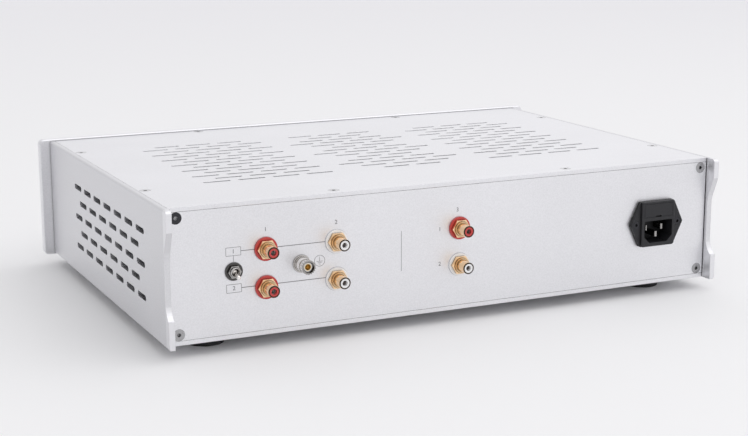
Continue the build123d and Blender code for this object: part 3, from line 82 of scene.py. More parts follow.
# ------------------------------------------------------------------ places of finishes
# Along Y: start of the side plates' milled ends past the rear panel's face, and lengths of the
# rims at the ends of the jacks' shells and of the ground knob, which get a painted dark reflection
PLATE_END_START = 3.2 * MM
SHELL_RIM = 0.6 * MM
KNOB_RIM = 0.3 * MM
POST_CORE_RADIUS = 2.4 * MM

# ------------------------------------------------------------------ places of the printing
# Turns a flat shape drawn in X and Y so that it is read from behind the case
FACING_REAR = (pi / 2, 0, pi)
# Heights of the two channel lines over the middles of their jacks, and the distance at which
# they end beside the left jacks' washers
UPPER_LINE_LIFT = 0.5 * MM
LOWER_LINE_LIFT = 1.6 * MM
WASHER_REACH = 8.1 * MM
# The line that parts inputs from outputs, and its shift from midway between their jacks
DIVIDER_HEIGHT = 28.2 * MM
DIVIDER_SHIFT = -1.9 * MM
# Height over the selector's middle at which the stem of the upper box ends
STEM_GAP = 6.6 * MM
# Middle of the ground symbol from the ground terminal, along X and Z
SYMBOL_SHIFT = (-13.3 * MM, 0.5 * MM)
# Parts of the ground symbol in radii: the upright's middle and length, and each bar's drop and
# length
SYMBOL_UPRIGHT = (0.30, 0.8)
SYMBOL_BARS = ((0.10, 1.15), (0.35, 0.75), (0.60, 0.35))
# Numbers: height over the upper jacks, distance beside the output jacks, and shift of the
# outputs' own number along X
NUMBER_LIFT = 13.1 * MM
NUMBER_REACH = 15.3 * MM
OUTPUT_NUMBER_SHIFT = 1.5 * MM
# Height of a digit as a share of the font's size
CAPITAL_SHARE = 0.72
DIGIT_RESOLUTION = 4
# Rounding of a bar's corners as a share of its narrow side
BAR_ROUND = 0.3
BAR_CORNER_SEGMENTS = 2
BOX_CORNER_SEGMENTS = 5
CIRCLE_SEGMENTS = 48

# ------------------------------------------------------------------ bushing thread
BUSHING_RADIUS = 3.0 * MM
# How deep the thread starts inside the nut, and where it ends past the rear panel's face
THREAD_SINK = 0.5 * MM
THREAD_END = 4.6 * MM
THREAD_STEPS = 32
RIDGE_CORNERS = 3

# Smooth shading stops at edges sharper than this
SHARP_EDGE = radians(30)


def centre(low, high):
    """Middle of a box given by its two corners."""
    return (low + high) / 2


# ------------------------------------------------------------------ settings
def colour(name, description, default):
    """Colour property of a finish."""
    return FloatVectorProperty(
        name=name, description=description, default=default, subtype="COLOR", min=0, max=1
    )


def length(name, description, default):
    """Length property in metres."""
    return FloatProperty(
        name=name, description=description, default=default, min=0, precision=5,
        subtype="DISTANCE", unit="LENGTH",
    )


class PreampFinishSettings(bpy.types.PropertyGroup):
    """Colours of the finishes."""

    aluminium: colour("Aluminium", "Bead-blasted, clear anodised plates", (0.85, 0.85, 0.872))
    raw_aluminium: colour("Raw aluminium", "Extruded bars inside the case", (0.70, 0.71, 0.73))
    gold: colour("Gold", "Plating of the phono jacks", (0.98, 0.69, 0.42))
    contact: colour("Contact", "Plating of the jacks' inner contacts", (0.76, 0.72, 0.70))
    brass: colour("Brass", "Turned brass of the ground post", (0.80, 0.60, 0.30))
    nickel: colour("Nickel", "Plating of switch, nuts and knob", (0.74, 0.72, 0.70))
    steel: colour("Steel", "Zinc plated screws", (0.60, 0.60, 0.61))
    dark_steel: colour("Dark steel", "Blackened screws", (0.05, 0.05, 0.055))
    red_plastic: colour("Red plastic", "Washers and cores, right channel", (0.60, 0.06, 0.055))
    white_plastic: colour("White plastic", "Washers and cores, left channel", (1.0, 1.0, 1.0))
    black_plastic: colour("Black plastic", "Mains inlet and switch", (0.015, 0.015, 0.019))
    fibre: colour("Fibre", "Inner washers of the jacks", (0.25, 0.17, 0.11))
    lens: colour("Lens", "Lamp on the front panel", (0.18, 0.32, 0.85))
    power_lead: colour("Power lead", "Leads of the supply", (0.40, 0.03, 0.025))
    signal_lead: colour("Signal lead", "Leads of the jacks", (0.24, 0.24, 0.26))
    rubber: colour("Rubber", "Feet and transformer pad", (0.02, 0.02, 0.021))
    ink: colour("Ink", "Printing on the rear panel", (0.17, 0.17, 0.18))
    edge_round: length("Edge round", "Softening of the plates' edges", 0.0004)


class PreampPrintSettings(bpy.types.PropertyGroup):
    """Sizes of the printing on the rear panel."""

    line_width: length("Line width", "Width of the channel lines", 0.00042)
    thin_width: length("Thin line width", "Width of boxes, stem and symbol lines", 0.00024)
    ink_thickness: length("Ink thickness", "How far the ink stands proud", 0.00005)
    box_width: length("Box width", "Width of the input boxes", 0.0106)
    box_height: length("Box height", "Height of the input boxes", 0.0058)
    box_corner: length("Box corner", "Corner radius of the input boxes", 0.0004)
    digit_height: length("Digit height", "Height of the numbers", 0.0029)
    symbol_radius: length("Symbol radius", "Radius of the ground symbol", 0.0039)


class PreampDetailSettings(bpy.types.PropertyGroup):
    """Sizes of small turned and moulded details."""

    thread_pitch: length("Thread pitch", "Pitch of the switch bushing's thread", 0.0005)
    thread_height: length("Thread height", "Height of the thread's ridge", 0.00022)


class PreampStageSettings(bpy.types.PropertyGroup):
    """Floor, lamp and sky."""

    floor_size: length("Floor size", "Side of the square floor", 16.0)
    floor_near: colour("Floor near", "Pale floor round the object", (0.905, 0.905, 0.91))
    floor_far: colour("Floor far", "Floor in the distance", (0.92, 0.915, 0.94))
    sky_strength: FloatProperty(
        name="Sky strength", description="Light from all round", default=0.85, min=0, max=3
    )
    key_power: FloatProperty(
        name="Key power", description="Power of the large softbox in watts",
        default=15.0, min=0, max=500, unit="POWER",
    )


# ------------------------------------------------------------------ material kit
# Sockets of a Mix node that blends colours, where names alone don't tell them apart
MIX_SHARE, MIX_FIRST, MIX_SECOND, MIX_RESULT = 0, 6, 7, 2
RAY_SAMPLES = 6
# Likeness of the rounded and the flat normal on a worn edge, and on an open face
EDGE_LIKENESS, FACE_LIKENESS = 0.90, 0.995
# Half the width over which one finish turns into the next
SEAM_BLUR = 0.1 * MM

METAL = 1.0
PLASTIC_IOR, RESIN_IOR, GLASS_IOR, FLOOR_IOR = 1.49, 1.5, 1.5, 1.3

# Sizes of blotches and specks
CLOUD_SIZE = 90 * MM
BLAST_SIZE = 0.9 * MM
HAZE_SIZE = 4 * MM
TURNING_SIZE = 0.4 * MM
TURNING_STRETCH = (1, 6, 1)
SCREW_HAZE_SIZE = 3 * MM
MOTTLE_SIZE = 6 * MM
TRACK_SIZE = 6 * MM
PATCH_SIZE = 16 * MM
DUST_SIZE = 2 * MM
FLOOR_CLOUD_SIZE = 2.5

# Heights of bumps
BLAST_RELIEF = 0.03 * MM
PLATING_RELIEF = 0.006 * MM
CORE_RELIEF = 0.004 * MM
PLASTIC_RELIEF = 0.01 * MM
SMOOTH_RELIEF = 0.003 * MM
TAPE_RELIEF = 0.2 * MM

# Shares of its tone that a finish varies between, and the share left in its creases as painted
# shade
BLAST_TONES, BLAST_CREASE_SHADE = (0.91, 1.04), 0.33
PLATING_TONES, PLATING_CREASE_SHADE = (0.95, 1.03), 0.14
PLASTIC_TONES, PLASTIC_CREASE_SHADE = (0.92, 1.12), 0.12
SWITCH_TONES, BUSHING_TONE = (0.9, 1.12), 0.8
CORE_CREASE_SHADE = 0.1
SCREW_CREASE_SHADE = 0.08
# Shares of its tone on a milled end: painted shade on faces that look down, and the milled tone on
# the others
MILLED_AND_UNDERSIDE_SHADE_TONES = (0.86, 1.1)
# Upward part of the normal over which the painted shade on faces that look down fades out
UNDERSIDE_SHADE_SPAN = (-0.5, -0.1)

# How far the roughness goes under and over its stated value, and how much wear takes off it
BLAST_ROUGHS, BLAST_POLISH = (-0.03, 0.04), 0.12
PLATING_ROUGHS, PLATING_POLISH = (-0.03, 0.05), 0.05
PLASTIC_ROUGHS = (-0.05, 0.08)

# First and second tone of finishes inside the case
SOLDER_MASK_TONES = ((0.02, 0.20, 0.07), (0.01, 0.10, 0.035))
COMPONENT_TONES = ((0.015, 0.02, 0.05), (0.42, 0.42, 0.44))
TAPE_TONES = ((0.50, 0.42, 0.06), (0.68, 0.60, 0.12))
GLASS_TONES = ((0.93, 0.96, 0.96), (0.99, 1.0, 1.0))
TAPE_LAPS = 64


def add_node(tree, kind, inputs=None, **settings):
    """New node of a tree with its settings, and its inputs linked or set."""
    node = tree.nodes.new(kind)
    for key, value in settings.items():
        setattr(node, key, value)
    for key, value in (inputs or {}).items():
        if isinstance(value, bpy.types.NodeSocket):
            tree.links.new(value, node.inputs[key])
        else:
            node.inputs[key].default_value = value
    return node


def tint(tone, factor):
    """Colour made lighter or darker."""
    return tuple(min(1.0, channel * factor) for channel in tone)


def tinted(tone, factor=1.0):
    """Colour made lighter or darker, with the alpha that a colour socket takes."""
    return (*tint(tone, factor), 1)


class Finish:
    """A material while its nodes are laid out. Its patterns follow Object coordinates."""

    def __init__(self, name, metallic=0.0, ior=1.45):
        self.material = bpy.data.materials.new(name)
        self.material.use_nodes = True
        self.tree = self.material.node_tree
        self.shader = self.tree.nodes["Principled BSDF"]
        self.constant("Metallic", metallic)
        self.constant("IOR", ior)
        self.place = self.add("ShaderNodeTexCoord").outputs["Object"]
        self.face = self.add("ShaderNodeNewGeometry").outputs["Normal"]

    def constant(self, socket, value):
        """Sets a socket of the shader that is the same all over."""
        self.shader.inputs[socket].default_value = value

    def add(self, kind, inputs=None, **settings):
        """New node of this material."""
        return add_node(self.tree, kind, inputs, **settings)

    def noise(self, size, detail=2.0, stretch=(1, 1, 1)):
        """Soft random pattern with blotches of that size in metres."""
        mapped = self.add("ShaderNodeMapping", {"Vector": self.place, "Scale": stretch})
        return self.add("ShaderNodeTexNoise", {
            "Vector": mapped.outputs["Vector"], "Scale": 1 / size, "Detail": detail,
        }).outputs["Fac"]

    def cell_borders(self, size):
        """Distance from the borders of random cells of that size in metres."""
        return self.add(
            "ShaderNodeTexVoronoi", {"Vector": self.place, "Scale": 1 / size},
            feature="DISTANCE_TO_EDGE",
        ).outputs["Distance"]

    def span(self, pattern, low, high, start=0.3, end=0.7):
        """Value that goes from low to high while the pattern goes from start to end."""
        return self.add("ShaderNodeMapRange", {
            "Value": pattern, "From Min": start, "From Max": end, "To Min": low, "To Max": high,
        }).outputs["Result"]

    def join(self, operation, first, second):
        """Arithmetic on two patterns or numbers."""
        return self.add("ShaderNodeMath", {0: first, 1: second}, operation=operation).outputs[0]

    def blend(self, first, second, share):
        """Two patterns added up, with that share of the second."""
        return self.join(
            "ADD", self.join("MULTIPLY", first, 1 - share), self.join("MULTIPLY", second, share)
        )

    def shade(self, pattern, first, second, start=0.3, end=0.7):
        """Colour that goes from first to second while the pattern goes from start to end."""
        ramp = self.add("ShaderNodeValToRGB", {"Fac": pattern})
        for stop, position, tone in zip(ramp.color_ramp.elements, (start, end), (first, second)):
            stop.position = position
            stop.color = (*tone, 1)
        return ramp.outputs["Color"]

    def vary(self, pattern, tone, shares):
        """A tone that the pattern makes darker and lighter, between two shares of it."""
        low, high = shares
        return self.shade(pattern, tint(tone, low), tint(tone, high))

    def vary_rough(self, pattern, rough, spread):
        """A roughness that the pattern takes below and above its value."""
        below, above = spread
        return self.span(pattern, rough + below, rough + above)

    def mix(self, share, first, second):
        """Colour that is the first where the pattern is 0 and the second where it is 1."""
        return self.add(
            "ShaderNodeMix", {MIX_SHARE: share, MIX_FIRST: first, MIX_SECOND: second},
            data_type="RGBA",
        ).outputs[MIX_RESULT]

    def part(self, axis, vector):
        """Part of a vector along X, Y or Z."""
        return self.add("ShaderNodeSeparateXYZ", {"Vector": vector}).outputs[axis]

    def distance(self, vector):
        """Length of a vector."""
        return self.add("ShaderNodeVectorMath", {0: vector}, operation="LENGTH").outputs["Value"]

    def place_from(self, middle):
        """Object coordinates counted from a point."""
        return self.add(
            "ShaderNodeMapping", {"Vector": self.place, "Location": -Vector(middle)}
        ).outputs["Vector"]

    def over(self, value, limit):
        """Pattern that is 1 where the value is over the limit, and 0 under it."""
        return self.span(value, 0, 1, limit - SEAM_BLUR, limit + SEAM_BLUR)

    def past(self, axis, place):
        """Pattern that is 1 past a place along X, Y or Z, and 0 before it."""
        return self.over(self.part(axis, self.place), place)

    def edges(self, radius):
        """Normal rounded over the edges, and a pattern that is 1 on them."""
        rounded = self.add(
            "ShaderNodeBevel", {"Radius": radius}, samples=RAY_SAMPLES
        ).outputs["Normal"]
        likeness = self.add(
            "ShaderNodeVectorMath", {0: rounded, 1: self.face}, operation="DOT_PRODUCT"
        ).outputs["Value"]
        return rounded, self.span(likeness, 1, 0, EDGE_LIKENESS, FACE_LIKENESS)

    def crease_shade(self, reach, shut, open_at):
        """Pattern of painted shade, which is 1 in gaps narrower than the reach and 0 on open
        faces.

        Shut and open_at are the openness at which the painted shade is full, and gone.
        """
        openness = self.add(
            "ShaderNodeAmbientOcclusion", {"Distance": reach}, samples=RAY_SAMPLES
        ).outputs["AO"]
        return self.span(openness, 1, 0, shut, open_at)

    def finish(self, base, rough, height=None, relief=0.0, normal=None):
        """Feeds the shader and returns the material."""
        if height is not None:
            bump = self.add("ShaderNodeBump", {"Height": height, "Distance": relief})
            if normal is not None:
                self.tree.links.new(normal, bump.inputs["Normal"])
            normal = bump.outputs["Normal"]
        for source, socket in ((base, "Base Color"), (rough, "Roughness"), (normal, "Normal")):
            if source is not None:
                self.tree.links.new(source, self.shader.inputs[socket])
        return self.material


# ------------------------------------------------------------------ finishes
def blasted_metal(name, tone, rough=0.42, edge=0.4 * MM, ends=None, shade_reach=1.8 * MM):
    """Bead-blasted, anodised metal: satin grain, faint clouds and brighter worn edges.

    Faces past the place called ends, along Y, are brighter, as freshly milled ones are, but for
    those that look down, which are darker as painted shade. The shade reach is how far the
    painted shade of a crease reaches.
    """
    kit = Finish(name, METAL)
    clouds = kit.noise(CLOUD_SIZE, detail=3)
    specks = kit.noise(BLAST_SIZE, detail=3)
    rounded, worn = kit.edges(edge)
    tone_map = kit.vary(kit.blend(clouds, specks, share=0.65), tone, BLAST_TONES)
    if ends is not None:
        # Milled ends are brighter; their faces that look down are darker, as painted shade
        painted_underside_shade, other = (tinted(tone, share) for share in MILLED_AND_UNDERSIDE_SHADE_TONES)
        upward = kit.span(kit.part("Z", kit.face), 0, 1, *UNDERSIDE_SHADE_SPAN)
        milled = kit.mix(upward, painted_underside_shade, other)
        tone_map = kit.mix(kit.past("Y", ends), tone_map, milled)
    # Painted shade: the tone is darker in creases, where the ambient occlusion is low
    crease_shade = kit.crease_shade(shade_reach, shut=0.3, open_at=0.9)
    tone_map = kit.mix(crease_shade, tone_map, tinted(tone, BLAST_CREASE_SHADE))
    rough_map = kit.join(
        "SUBTRACT", kit.vary_rough(clouds, rough, BLAST_ROUGHS),
        kit.join("MULTIPLY", worn, BLAST_POLISH),
    )
    return kit.finish(tone_map, rough_map, specks, BLAST_RELIEF, rounded)


def plated_metal(
    name, tone, rough=0.16, shade_reach=1.5 * MM, ends=None, shut=0.25, open_at=0.96, painted_rim_share=0.06
):
    """Polished plating: fine turning marks, handling haze, painted shade in creases and bright
    edges.

    Faces past the place called ends, along Y, are darkened to a share of the tone, as a painted
    dark reflection. The reach, shut and open_at are the limits of the painted shade in creases.
    """
    kit = Finish(name, METAL)
    haze = kit.noise(HAZE_SIZE, detail=3)
    marks = kit.noise(TURNING_SIZE, stretch=TURNING_STRETCH)
    rounded, worn = kit.edges(0.15 * MM)
    # Painted shade: the tone is darker in creases, where the ambient occlusion is low
    tone_map = kit.mix(
        kit.crease_shade(shade_reach, shut, open_at),
        kit.vary(haze, tone, PLATING_TONES), tinted(tone, PLATING_CREASE_SHADE),
    )
    if ends is not None:
        # Painted dark reflection on the faces past the ends
        tone_map = kit.mix(kit.past("Y", ends), tone_map, tinted(tone, painted_rim_share))
    rough_map = kit.join(
        "SUBTRACT", kit.vary_rough(haze, rough, PLATING_ROUGHS),
        kit.join("MULTIPLY", worn, PLATING_POLISH),
    )
    return kit.finish(tone_map, rough_map, marks, PLATING_RELIEF, rounded)


def moulded_plastic(
    name, tone, rough=0.35, edge=0.2 * MM, grain=0.6 * MM, relief=PLASTIC_RELIEF,
    shade_reach=1 * MM, clearness=0.0,
):
    """Moulded plastic: fine texture, slight mottling, painted shade in creases, and paler edges,
    partly rubbed wear and partly painted edge highlight.
    """
    kit = Finish(name, ior=PLASTIC_IOR)
    kit.constant("Transmission Weight", clearness)
    mottle = kit.noise(MOTTLE_SIZE, detail=3)
    texture = kit.noise(grain)
    rounded, worn = kit.edges(edge)
    # Painted shade in creases; the paler edges are partly rubbed wear and partly painted edge
    # highlight
    tone_map = kit.mix(
        kit.crease_shade(shade_reach, shut=0.25, open_at=0.9),
        kit.vary(kit.blend(mottle, worn, share=0.25), tone, PLASTIC_TONES),
        tinted(tone, PLASTIC_CREASE_SHADE),
    )
    rough_map = kit.vary_rough(mottle, rough, PLASTIC_ROUGHS)
    return kit.finish(tone_map, rough_map, texture, relief, rounded)


def bushed_plastic(name, plastic, metal, seam):
    """Moulded plastic with a plated metal bushing past the seam, along Y."""
    kit = Finish(name)
    mottle = kit.noise(MOTTLE_SIZE, detail=3)
    bushing = kit.past("Y", seam)
    kit.tree.links.new(bushing, kit.shader.inputs["Metallic"])
    tone_map = kit.mix(
        bushing, kit.vary(mottle, plastic, SWITCH_TONES), tinted(metal, BUSHING_TONE)
    )
    rounded = kit.edges(0.2 * MM)[0]
    rough_map = kit.span(bushing, low=0.4, high=0.2)
    return kit.finish(tone_map, rough_map, mottle, PLASTIC_RELIEF, rounded)


def cored_metal(name, outside, inside, middle, core_radius):
    """Plated metal, turned about an axis along Y, that is another metal inside a radius."""
    kit = Finish(name, METAL)
    across = kit.add(
        "ShaderNodeVectorMath", {0: kit.place_from(middle), 1: (1, 0, 1)}, operation="MULTIPLY"
    ).outputs["Vector"]
    outer = kit.over(kit.distance(across), core_radius)
    bright = kit.mix(outer, tinted(inside), tinted(outside))
    # Painted shade: darker in creases, where the ambient occlusion is low
    crease_shade = kit.crease_shade(2 * MM, shut=0.2, open_at=0.9)
    haze = kit.noise(HAZE_SIZE)
    rounded = kit.edges(0.15 * MM)[0]
    return kit.finish(
        kit.mix(crease_shade, bright, tinted(inside, CORE_CREASE_SHADE)),
        kit.span(haze, low=0.14, high=0.22), haze, CORE_RELIEF, rounded,
    )


def one_dark_screw(name, bright, dark, past_x, past_z):
    """Zinc plated screws, but for the blackened one past both places, whose socket gets a painted
    glint. Creases get painted shade.
    """
    kit = Finish(name, METAL)
    chosen = kit.join("MULTIPLY", kit.past("X", past_x), kit.past("Z", past_z))
    haze = kit.noise(SCREW_HAZE_SIZE, detail=3)
    rounded = kit.edges(0.15 * MM)[0]
    # Painted shade in the creases of the plated screws
    crease_shade = kit.crease_shade(1.8 * MM, shut=0.3, open_at=0.95)
    plating = kit.mix(crease_shade, tinted(bright), tinted(bright, SCREW_CREASE_SHADE))
    # Painted glint: where the blackened screw's socket is deep and its occlusion low, it takes the
    # bright tone
    socket = kit.crease_shade(2 * MM, shut=0.45, open_at=0.7)
    blackened = kit.mix(socket, tinted(dark), tinted(bright))
    return kit.finish(
        kit.mix(chosen, plating, blackened),
        kit.span(haze, low=0.24, high=0.34), haze, PLATING_RELIEF, rounded,
    )


def circuit_board(name):
    """Green solder mask over copper tracks."""
    kit = Finish(name, ior=RESIN_IOR)
    tracks = kit.cell_borders(TRACK_SIZE)
    mask = kit.shade(tracks, *SOLDER_MASK_TONES, start=0.05, end=0.09)
    rough_map = kit.span(kit.noise(3 * MM), low=0.25, high=0.4)
    return kit.finish(mask, rough_map, tracks, 0.03 * MM)


def components(name):
    """Components: dark sleeves and cases with paler tops."""
    kit = Finish(name, ior=RESIN_IOR)
    patches = kit.noise(PATCH_SIZE, detail=1)
    body = kit.blend(kit.part("Z", kit.face), patches, share=0.7)
    tone_map = kit.shade(body, *COMPONENT_TONES, start=0.30, end=0.75)
    rough_map = kit.span(patches, low=0.3, high=0.5)
    return kit.finish(tone_map, rough_map, kit.noise(1 * MM), 0.02 * MM)


def wound_tape(name, middle):
    """Transformer: tape wound round the ring in overlapping turns."""
    kit = Finish(name, ior=RESIN_IOR)
    turn = kit.add(
        "ShaderNodeTexGradient", {"Vector": kit.place_from(middle)}, gradient_type="RADIAL"
    ).outputs["Fac"]
    laps = kit.join("FRACT", kit.join("MULTIPLY", turn, TAPE_LAPS), 0)
    tone_map = kit.shade(laps, *TAPE_TONES, start=0.0, end=0.9)
    rough_map = kit.span(kit.noise(4 * MM), low=0.25, high=0.45)
    return kit.finish(tone_map, rough_map, laps, TAPE_RELIEF)


def clear_glass(name):
    """Fuse tube: clear glass with faint dust."""
    kit = Finish(name, ior=GLASS_IOR)
    kit.constant("Transmission Weight", 1.0)
    dust = kit.noise(DUST_SIZE, detail=3)
    return kit.finish(kit.shade(dust, *GLASS_TONES), kit.span(dust, low=0.02, high=0.10))


def dress(material, *names):
    """Gives CAD nodes a finish."""
    for name in names:
        mesh = NODES[name].data
        mesh.materials.clear()
        mesh.materials.append(material)


# ------------------------------------------------------------------ modelling kit
def deselect():
    """Nothing stays selected, so the next operator acts on the new piece alone."""
    if bpy.context.object is not None and bpy.context.object.mode != "OBJECT":
        bpy.ops.object.mode_set(mode="OBJECT")
    bpy.ops.object.select_all(action="DESELECT")


def edit():
    """Edit mode with everything selected."""
    bpy.ops.object.mode_set(mode="EDIT")
    bpy.ops.mesh.select_all(action="SELECT")


def apply_modifier(kind, **settings):
    """Adds a modifier to the active object and applies it."""
    bpy.ops.object.modifier_add(type=kind)
    modifier = bpy.context.object.modifiers[-1]
    for key, value in settings.items():
        setattr(modifier, key, value)
    bpy.ops.object.modifier_apply(modifier=modifier.name)


def settle(name, material, body=CHASSIS):
    """Ends a piece: place in its mesh, shading, finish, slot and the body it rides on."""
    bpy.ops.object.mode_set(mode="OBJECT")
    bpy.ops.object.transform_apply(location=True, rotation=True, scale=True)
    bpy.ops.object.shade_smooth_by_angle(angle=SHARP_EDGE)
    piece = bpy.context.object
    piece.name = name
    piece.data.name = name
    piece.data.materials.clear()
    piece.data.materials.append(material)
    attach(piece, body)


def merge(pieces):
    """Joins pieces into the first one and leaves it active."""
    deselect()
    for piece in pieces:
        piece.select_set(True)
    bpy.context.view_layer.objects.active = pieces[0]
    bpy.ops.object.join()


def thicken(thickness):
    """Gives the active flat ink shape its thickness, on both sides of the panel's face."""
    bpy.ops.object.mode_set(mode="OBJECT")
    bpy.ops.object.transform_apply(location=True, rotation=True, scale=True)
    apply_modifier("SOLIDIFY", thickness=2 * thickness, offset=0.0)
    edit()
    bpy.ops.mesh.normals_make_consistent(inside=False)
    bpy.ops.object.mode_set(mode="OBJECT")
    return bpy.context.object


def ink_patch(x, z, width, height, corner, segments):
    """Flat rectangle on the panel's face, in edit mode, with its corners rounded off."""
    deselect()
    bpy.ops.mesh.primitive_plane_add(size=1, location=(x, REAR_Y, z), rotation=FACING_REAR)
    bpy.context.object.scale = (width, height, 1)
    bpy.ops.object.transform_apply(location=False, rotation=False, scale=True)
    edit()
    bpy.ops.mesh.bevel(offset=corner, segments=segments, affect="VERTICES")


def ink_bar(x, z, width, height, thickness):
    """Printed bar centred at x and z, with its corners rounded off."""
    ink_patch(x, z, width, height, BAR_ROUND * min(width, height), BAR_CORNER_SEGMENTS)
    return thicken(thickness)


def ink_ring(line, thickness):
    """Keeps a border of the active flat shape, as wide as the line, and gives it thickness."""
    edit()
    bpy.ops.mesh.inset(thickness=line)
    bpy.ops.mesh.delete(type="FACE")
    return thicken(thickness)


def ink_frame(x, z, width, height, corner, line, thickness):
    """Printed outline of a box with round corners."""
    ink_patch(x, z, width, height, corner, BOX_CORNER_SEGMENTS)
    return ink_ring(line, thickness)


def ink_circle(x, z, radius, line, thickness):
    """Printed circle."""
    deselect()
    bpy.ops.mesh.primitive_circle_add(
        vertices=CIRCLE_SEGMENTS, radius=radius, fill_type="NGON",
        location=(x, REAR_Y, z), rotation=FACING_REAR,
    )
    return ink_ring(line, thickness)


def ink_digit(digit, x, z, height, thickness):
    """Printed number centred at x and z."""
    deselect()
    bpy.ops.object.text_add(location=(x, REAR_Y, z), rotation=FACING_REAR)
    text = bpy.context.object.data
    text.body = digit
    text.align_x = "CENTER"
    text.align_y = "CENTER"
    text.size = height / CAPITAL_SHARE
    text.resolution_u = DIGIT_RESOLUTION
    bpy.ops.object.convert(target="MESH")
    return thicken(thickness)


class StepOperator:
    """What the operators share."""

    bl_options = {"REGISTER", "UNDO"}


# ------------------------------------------------------------------ finishes of the pieces
class PREAMP_OT_finish_case(StepOperator, bpy.types.Operator):
    """Bead-blasted anodised plates, extruded bars and rubber feet"""

    bl_idname = "preamp.finish_case"
    bl_label = "Finish case"

    def execute(self, context):
        tones = context.scene.preamp_finish
        edge = tones.edge_round
        plate = blasted_metal("anodised_plate", tones.aluminium, edge=edge)
        dress(plate, "front_panel", "top_cover", "bottom_plate")
        rear = blasted_metal("anodised_rear", tones.aluminium, edge=edge, shade_reach=0.8 * MM)
        dress(rear, "rear_panel")
        # The side plates are a darker copy of the aluminium: painted shade
        side = blasted_metal(
            "anodised_side_painted_shade", tint(tones.aluminium, factor=0.88), edge=edge,
            ends=REAR_Y + PLATE_END_START, shade_reach=0.7 * MM,
        )
        dress(side, "side_plate_left", "side_plate_right")
        bars = blasted_metal("extruded_bar", tones.raw_aluminium, rough=0.35)
        dress(bars, "side_rails", "cross_bars")
        rubber = moulded_plastic(
            "foot_rubber", tones.rubber, rough=0.62, edge=0.6 * MM, grain=0.8 * MM,
            relief=0.03 * MM,
        )
        dress(
            rubber, "foot_front_left", "foot_front_right", "foot_rear_left", "foot_rear_right",
            "transformer_pad",
        )
        return {"FINISHED"}


class PREAMP_OT_finish_fasteners(StepOperator, bpy.types.Operator):
    """Zinc plated and blackened screws"""

    bl_idname = "preamp.finish_fasteners"
    bl_label = "Finish screws"

    def execute(self, context):
        tones = context.scene.preamp_finish
        zinc = plated_metal("zinc_screw", tones.steel, rough=0.28, shade_reach=1.8 * MM)
        dress(
            zinc, "cover_screws", "frame_screws", "foot_screws", "board_screws",
            "transformer_bolt", "transformer_clamp",
        )
        middle = centre(*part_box("rear_panel_screws"))
        corner = one_dark_screw(
            "corner_screw", tint(tones.steel, factor=0.7), tones.dark_steel, middle.x, middle.z
        )
        dress(corner, "rear_panel_screws")
        dark = plated_metal("blackened_screw", tones.dark_steel, rough=0.26)
        dress(dark, "inlet_screws")
        return {"FINISHED"}


class PREAMP_OT_finish_jacks(StepOperator, bpy.types.Operator):
    """Gold plated phono jacks with coloured washers and cores"""

    bl_idname = "preamp.finish_jacks"
    bl_label = "Finish phono jacks"

    def execute(self, context):
        tones = context.scene.preamp_finish
        shell_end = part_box("jack_bodies_right")[1].y
        # The shells' end rims are darkened as a painted dark reflection, and creases get strong
        # painted shade
        gold = plated_metal(
            "gold_plating", tones.gold, rough=0.13, shade_reach=3.4 * MM, ends=shell_end - SHELL_RIM,
            shut=0.54, open_at=0.8,
        )
        dress(gold, "jack_bodies_right", "jack_bodies_left", "jack_ground_tags", "jack_nuts")
        contact = plated_metal("contact_plating", tones.contact, rough=0.3, shade_reach=0.4 * MM)
        dress(contact, "jack_contacts")
        red = moulded_plastic(
            "red_moulding", tones.red_plastic, rough=0.22, relief=SMOOTH_RELIEF,
            shade_reach=0.4 * MM,
        )
        dress(red, "jack_washers_red", "jack_cores_red")
        white = moulded_plastic(
            "white_moulding", tones.white_plastic, rough=0.22, edge=0.1 * MM,
            relief=SMOOTH_RELIEF, shade_reach=0.2 * MM,
        )
        dress(white, "jack_washers_white", "jack_cores_white")
        fibre = moulded_plastic("fibre_washer", tones.fibre, rough=0.6, grain=0.3 * MM)
        dress(fibre, "jack_inner_washers")
        return {"FINISHED"}


class PREAMP_OT_finish_controls(StepOperator, bpy.types.Operator):
    """Selector switch, ground terminal, power button and lamp"""

    bl_idname = "preamp.finish_controls"
    bl_label = "Finish switches and ground terminal"

    def execute(self, context):
        tones = context.scene.preamp_finish
        nickel = plated_metal("nickel_plating", tones.nickel)
        dress(nickel, "ground_collar", "ground_nut", "power_bezel", "power_nut")
        # The lever is a lighter copy of the nickel: painted highlight
        bright = plated_metal(
            "nickel_painted_highlight", tint(tones.nickel, factor=1.25), rough=0.2, shade_reach=0.5 * MM
        )
        dress(bright, "selector_lever")
        # The knob is a lighter copy of the nickel as painted highlight, with a painted dark
        # reflection on its rim
        knob = plated_metal(
            "knob_nickel_painted_highlight", tint(tones.nickel, factor=1.2), rough=0.14, shade_reach=1.4 * MM,
            ends=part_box("ground_knob")[1].y - KNOB_RIM, painted_rim_share=0.4,
        )
        dress(knob, "ground_knob")
        # The nut is a darker copy of the nickel: painted shade
        nut_shade_nickel = plated_metal("nickel_painted_shade", tint(tones.nickel, factor=0.6), rough=0.14)
        dress(nut_shade_nickel, "selector_nut")
        # The washer is an almost black copy of the nickel: painted dark reflection
        dress(plated_metal("nickel_painted_dark_reflection", tint(tones.nickel, factor=0.13)), "selector_washer")
        post = cored_metal(
            "post_plating", tones.nickel, tones.brass, MOUNTS["ground_socket"], POST_CORE_RADIUS
        )
        dress(post, "ground_post")
        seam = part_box("rear_panel")[0].y
        bushed = bushed_plastic("switch_moulding", tones.black_plastic, tones.nickel, seam)
        dress(bushed, "selector_case")
        dress(moulded_plastic("button_switch", tones.black_plastic, rough=0.4), "power_switch")
        button = blasted_metal("turned_button", tones.aluminium, rough=0.3, edge=0.2 * MM)
        dress(button, "power_button")
        lens = moulded_plastic(
            "lamp_lens", tones.lens, rough=0.12, relief=0.002 * MM, clearness=0.5
        )
        dress(lens, "power_lamp")
        return {"FINISHED"}


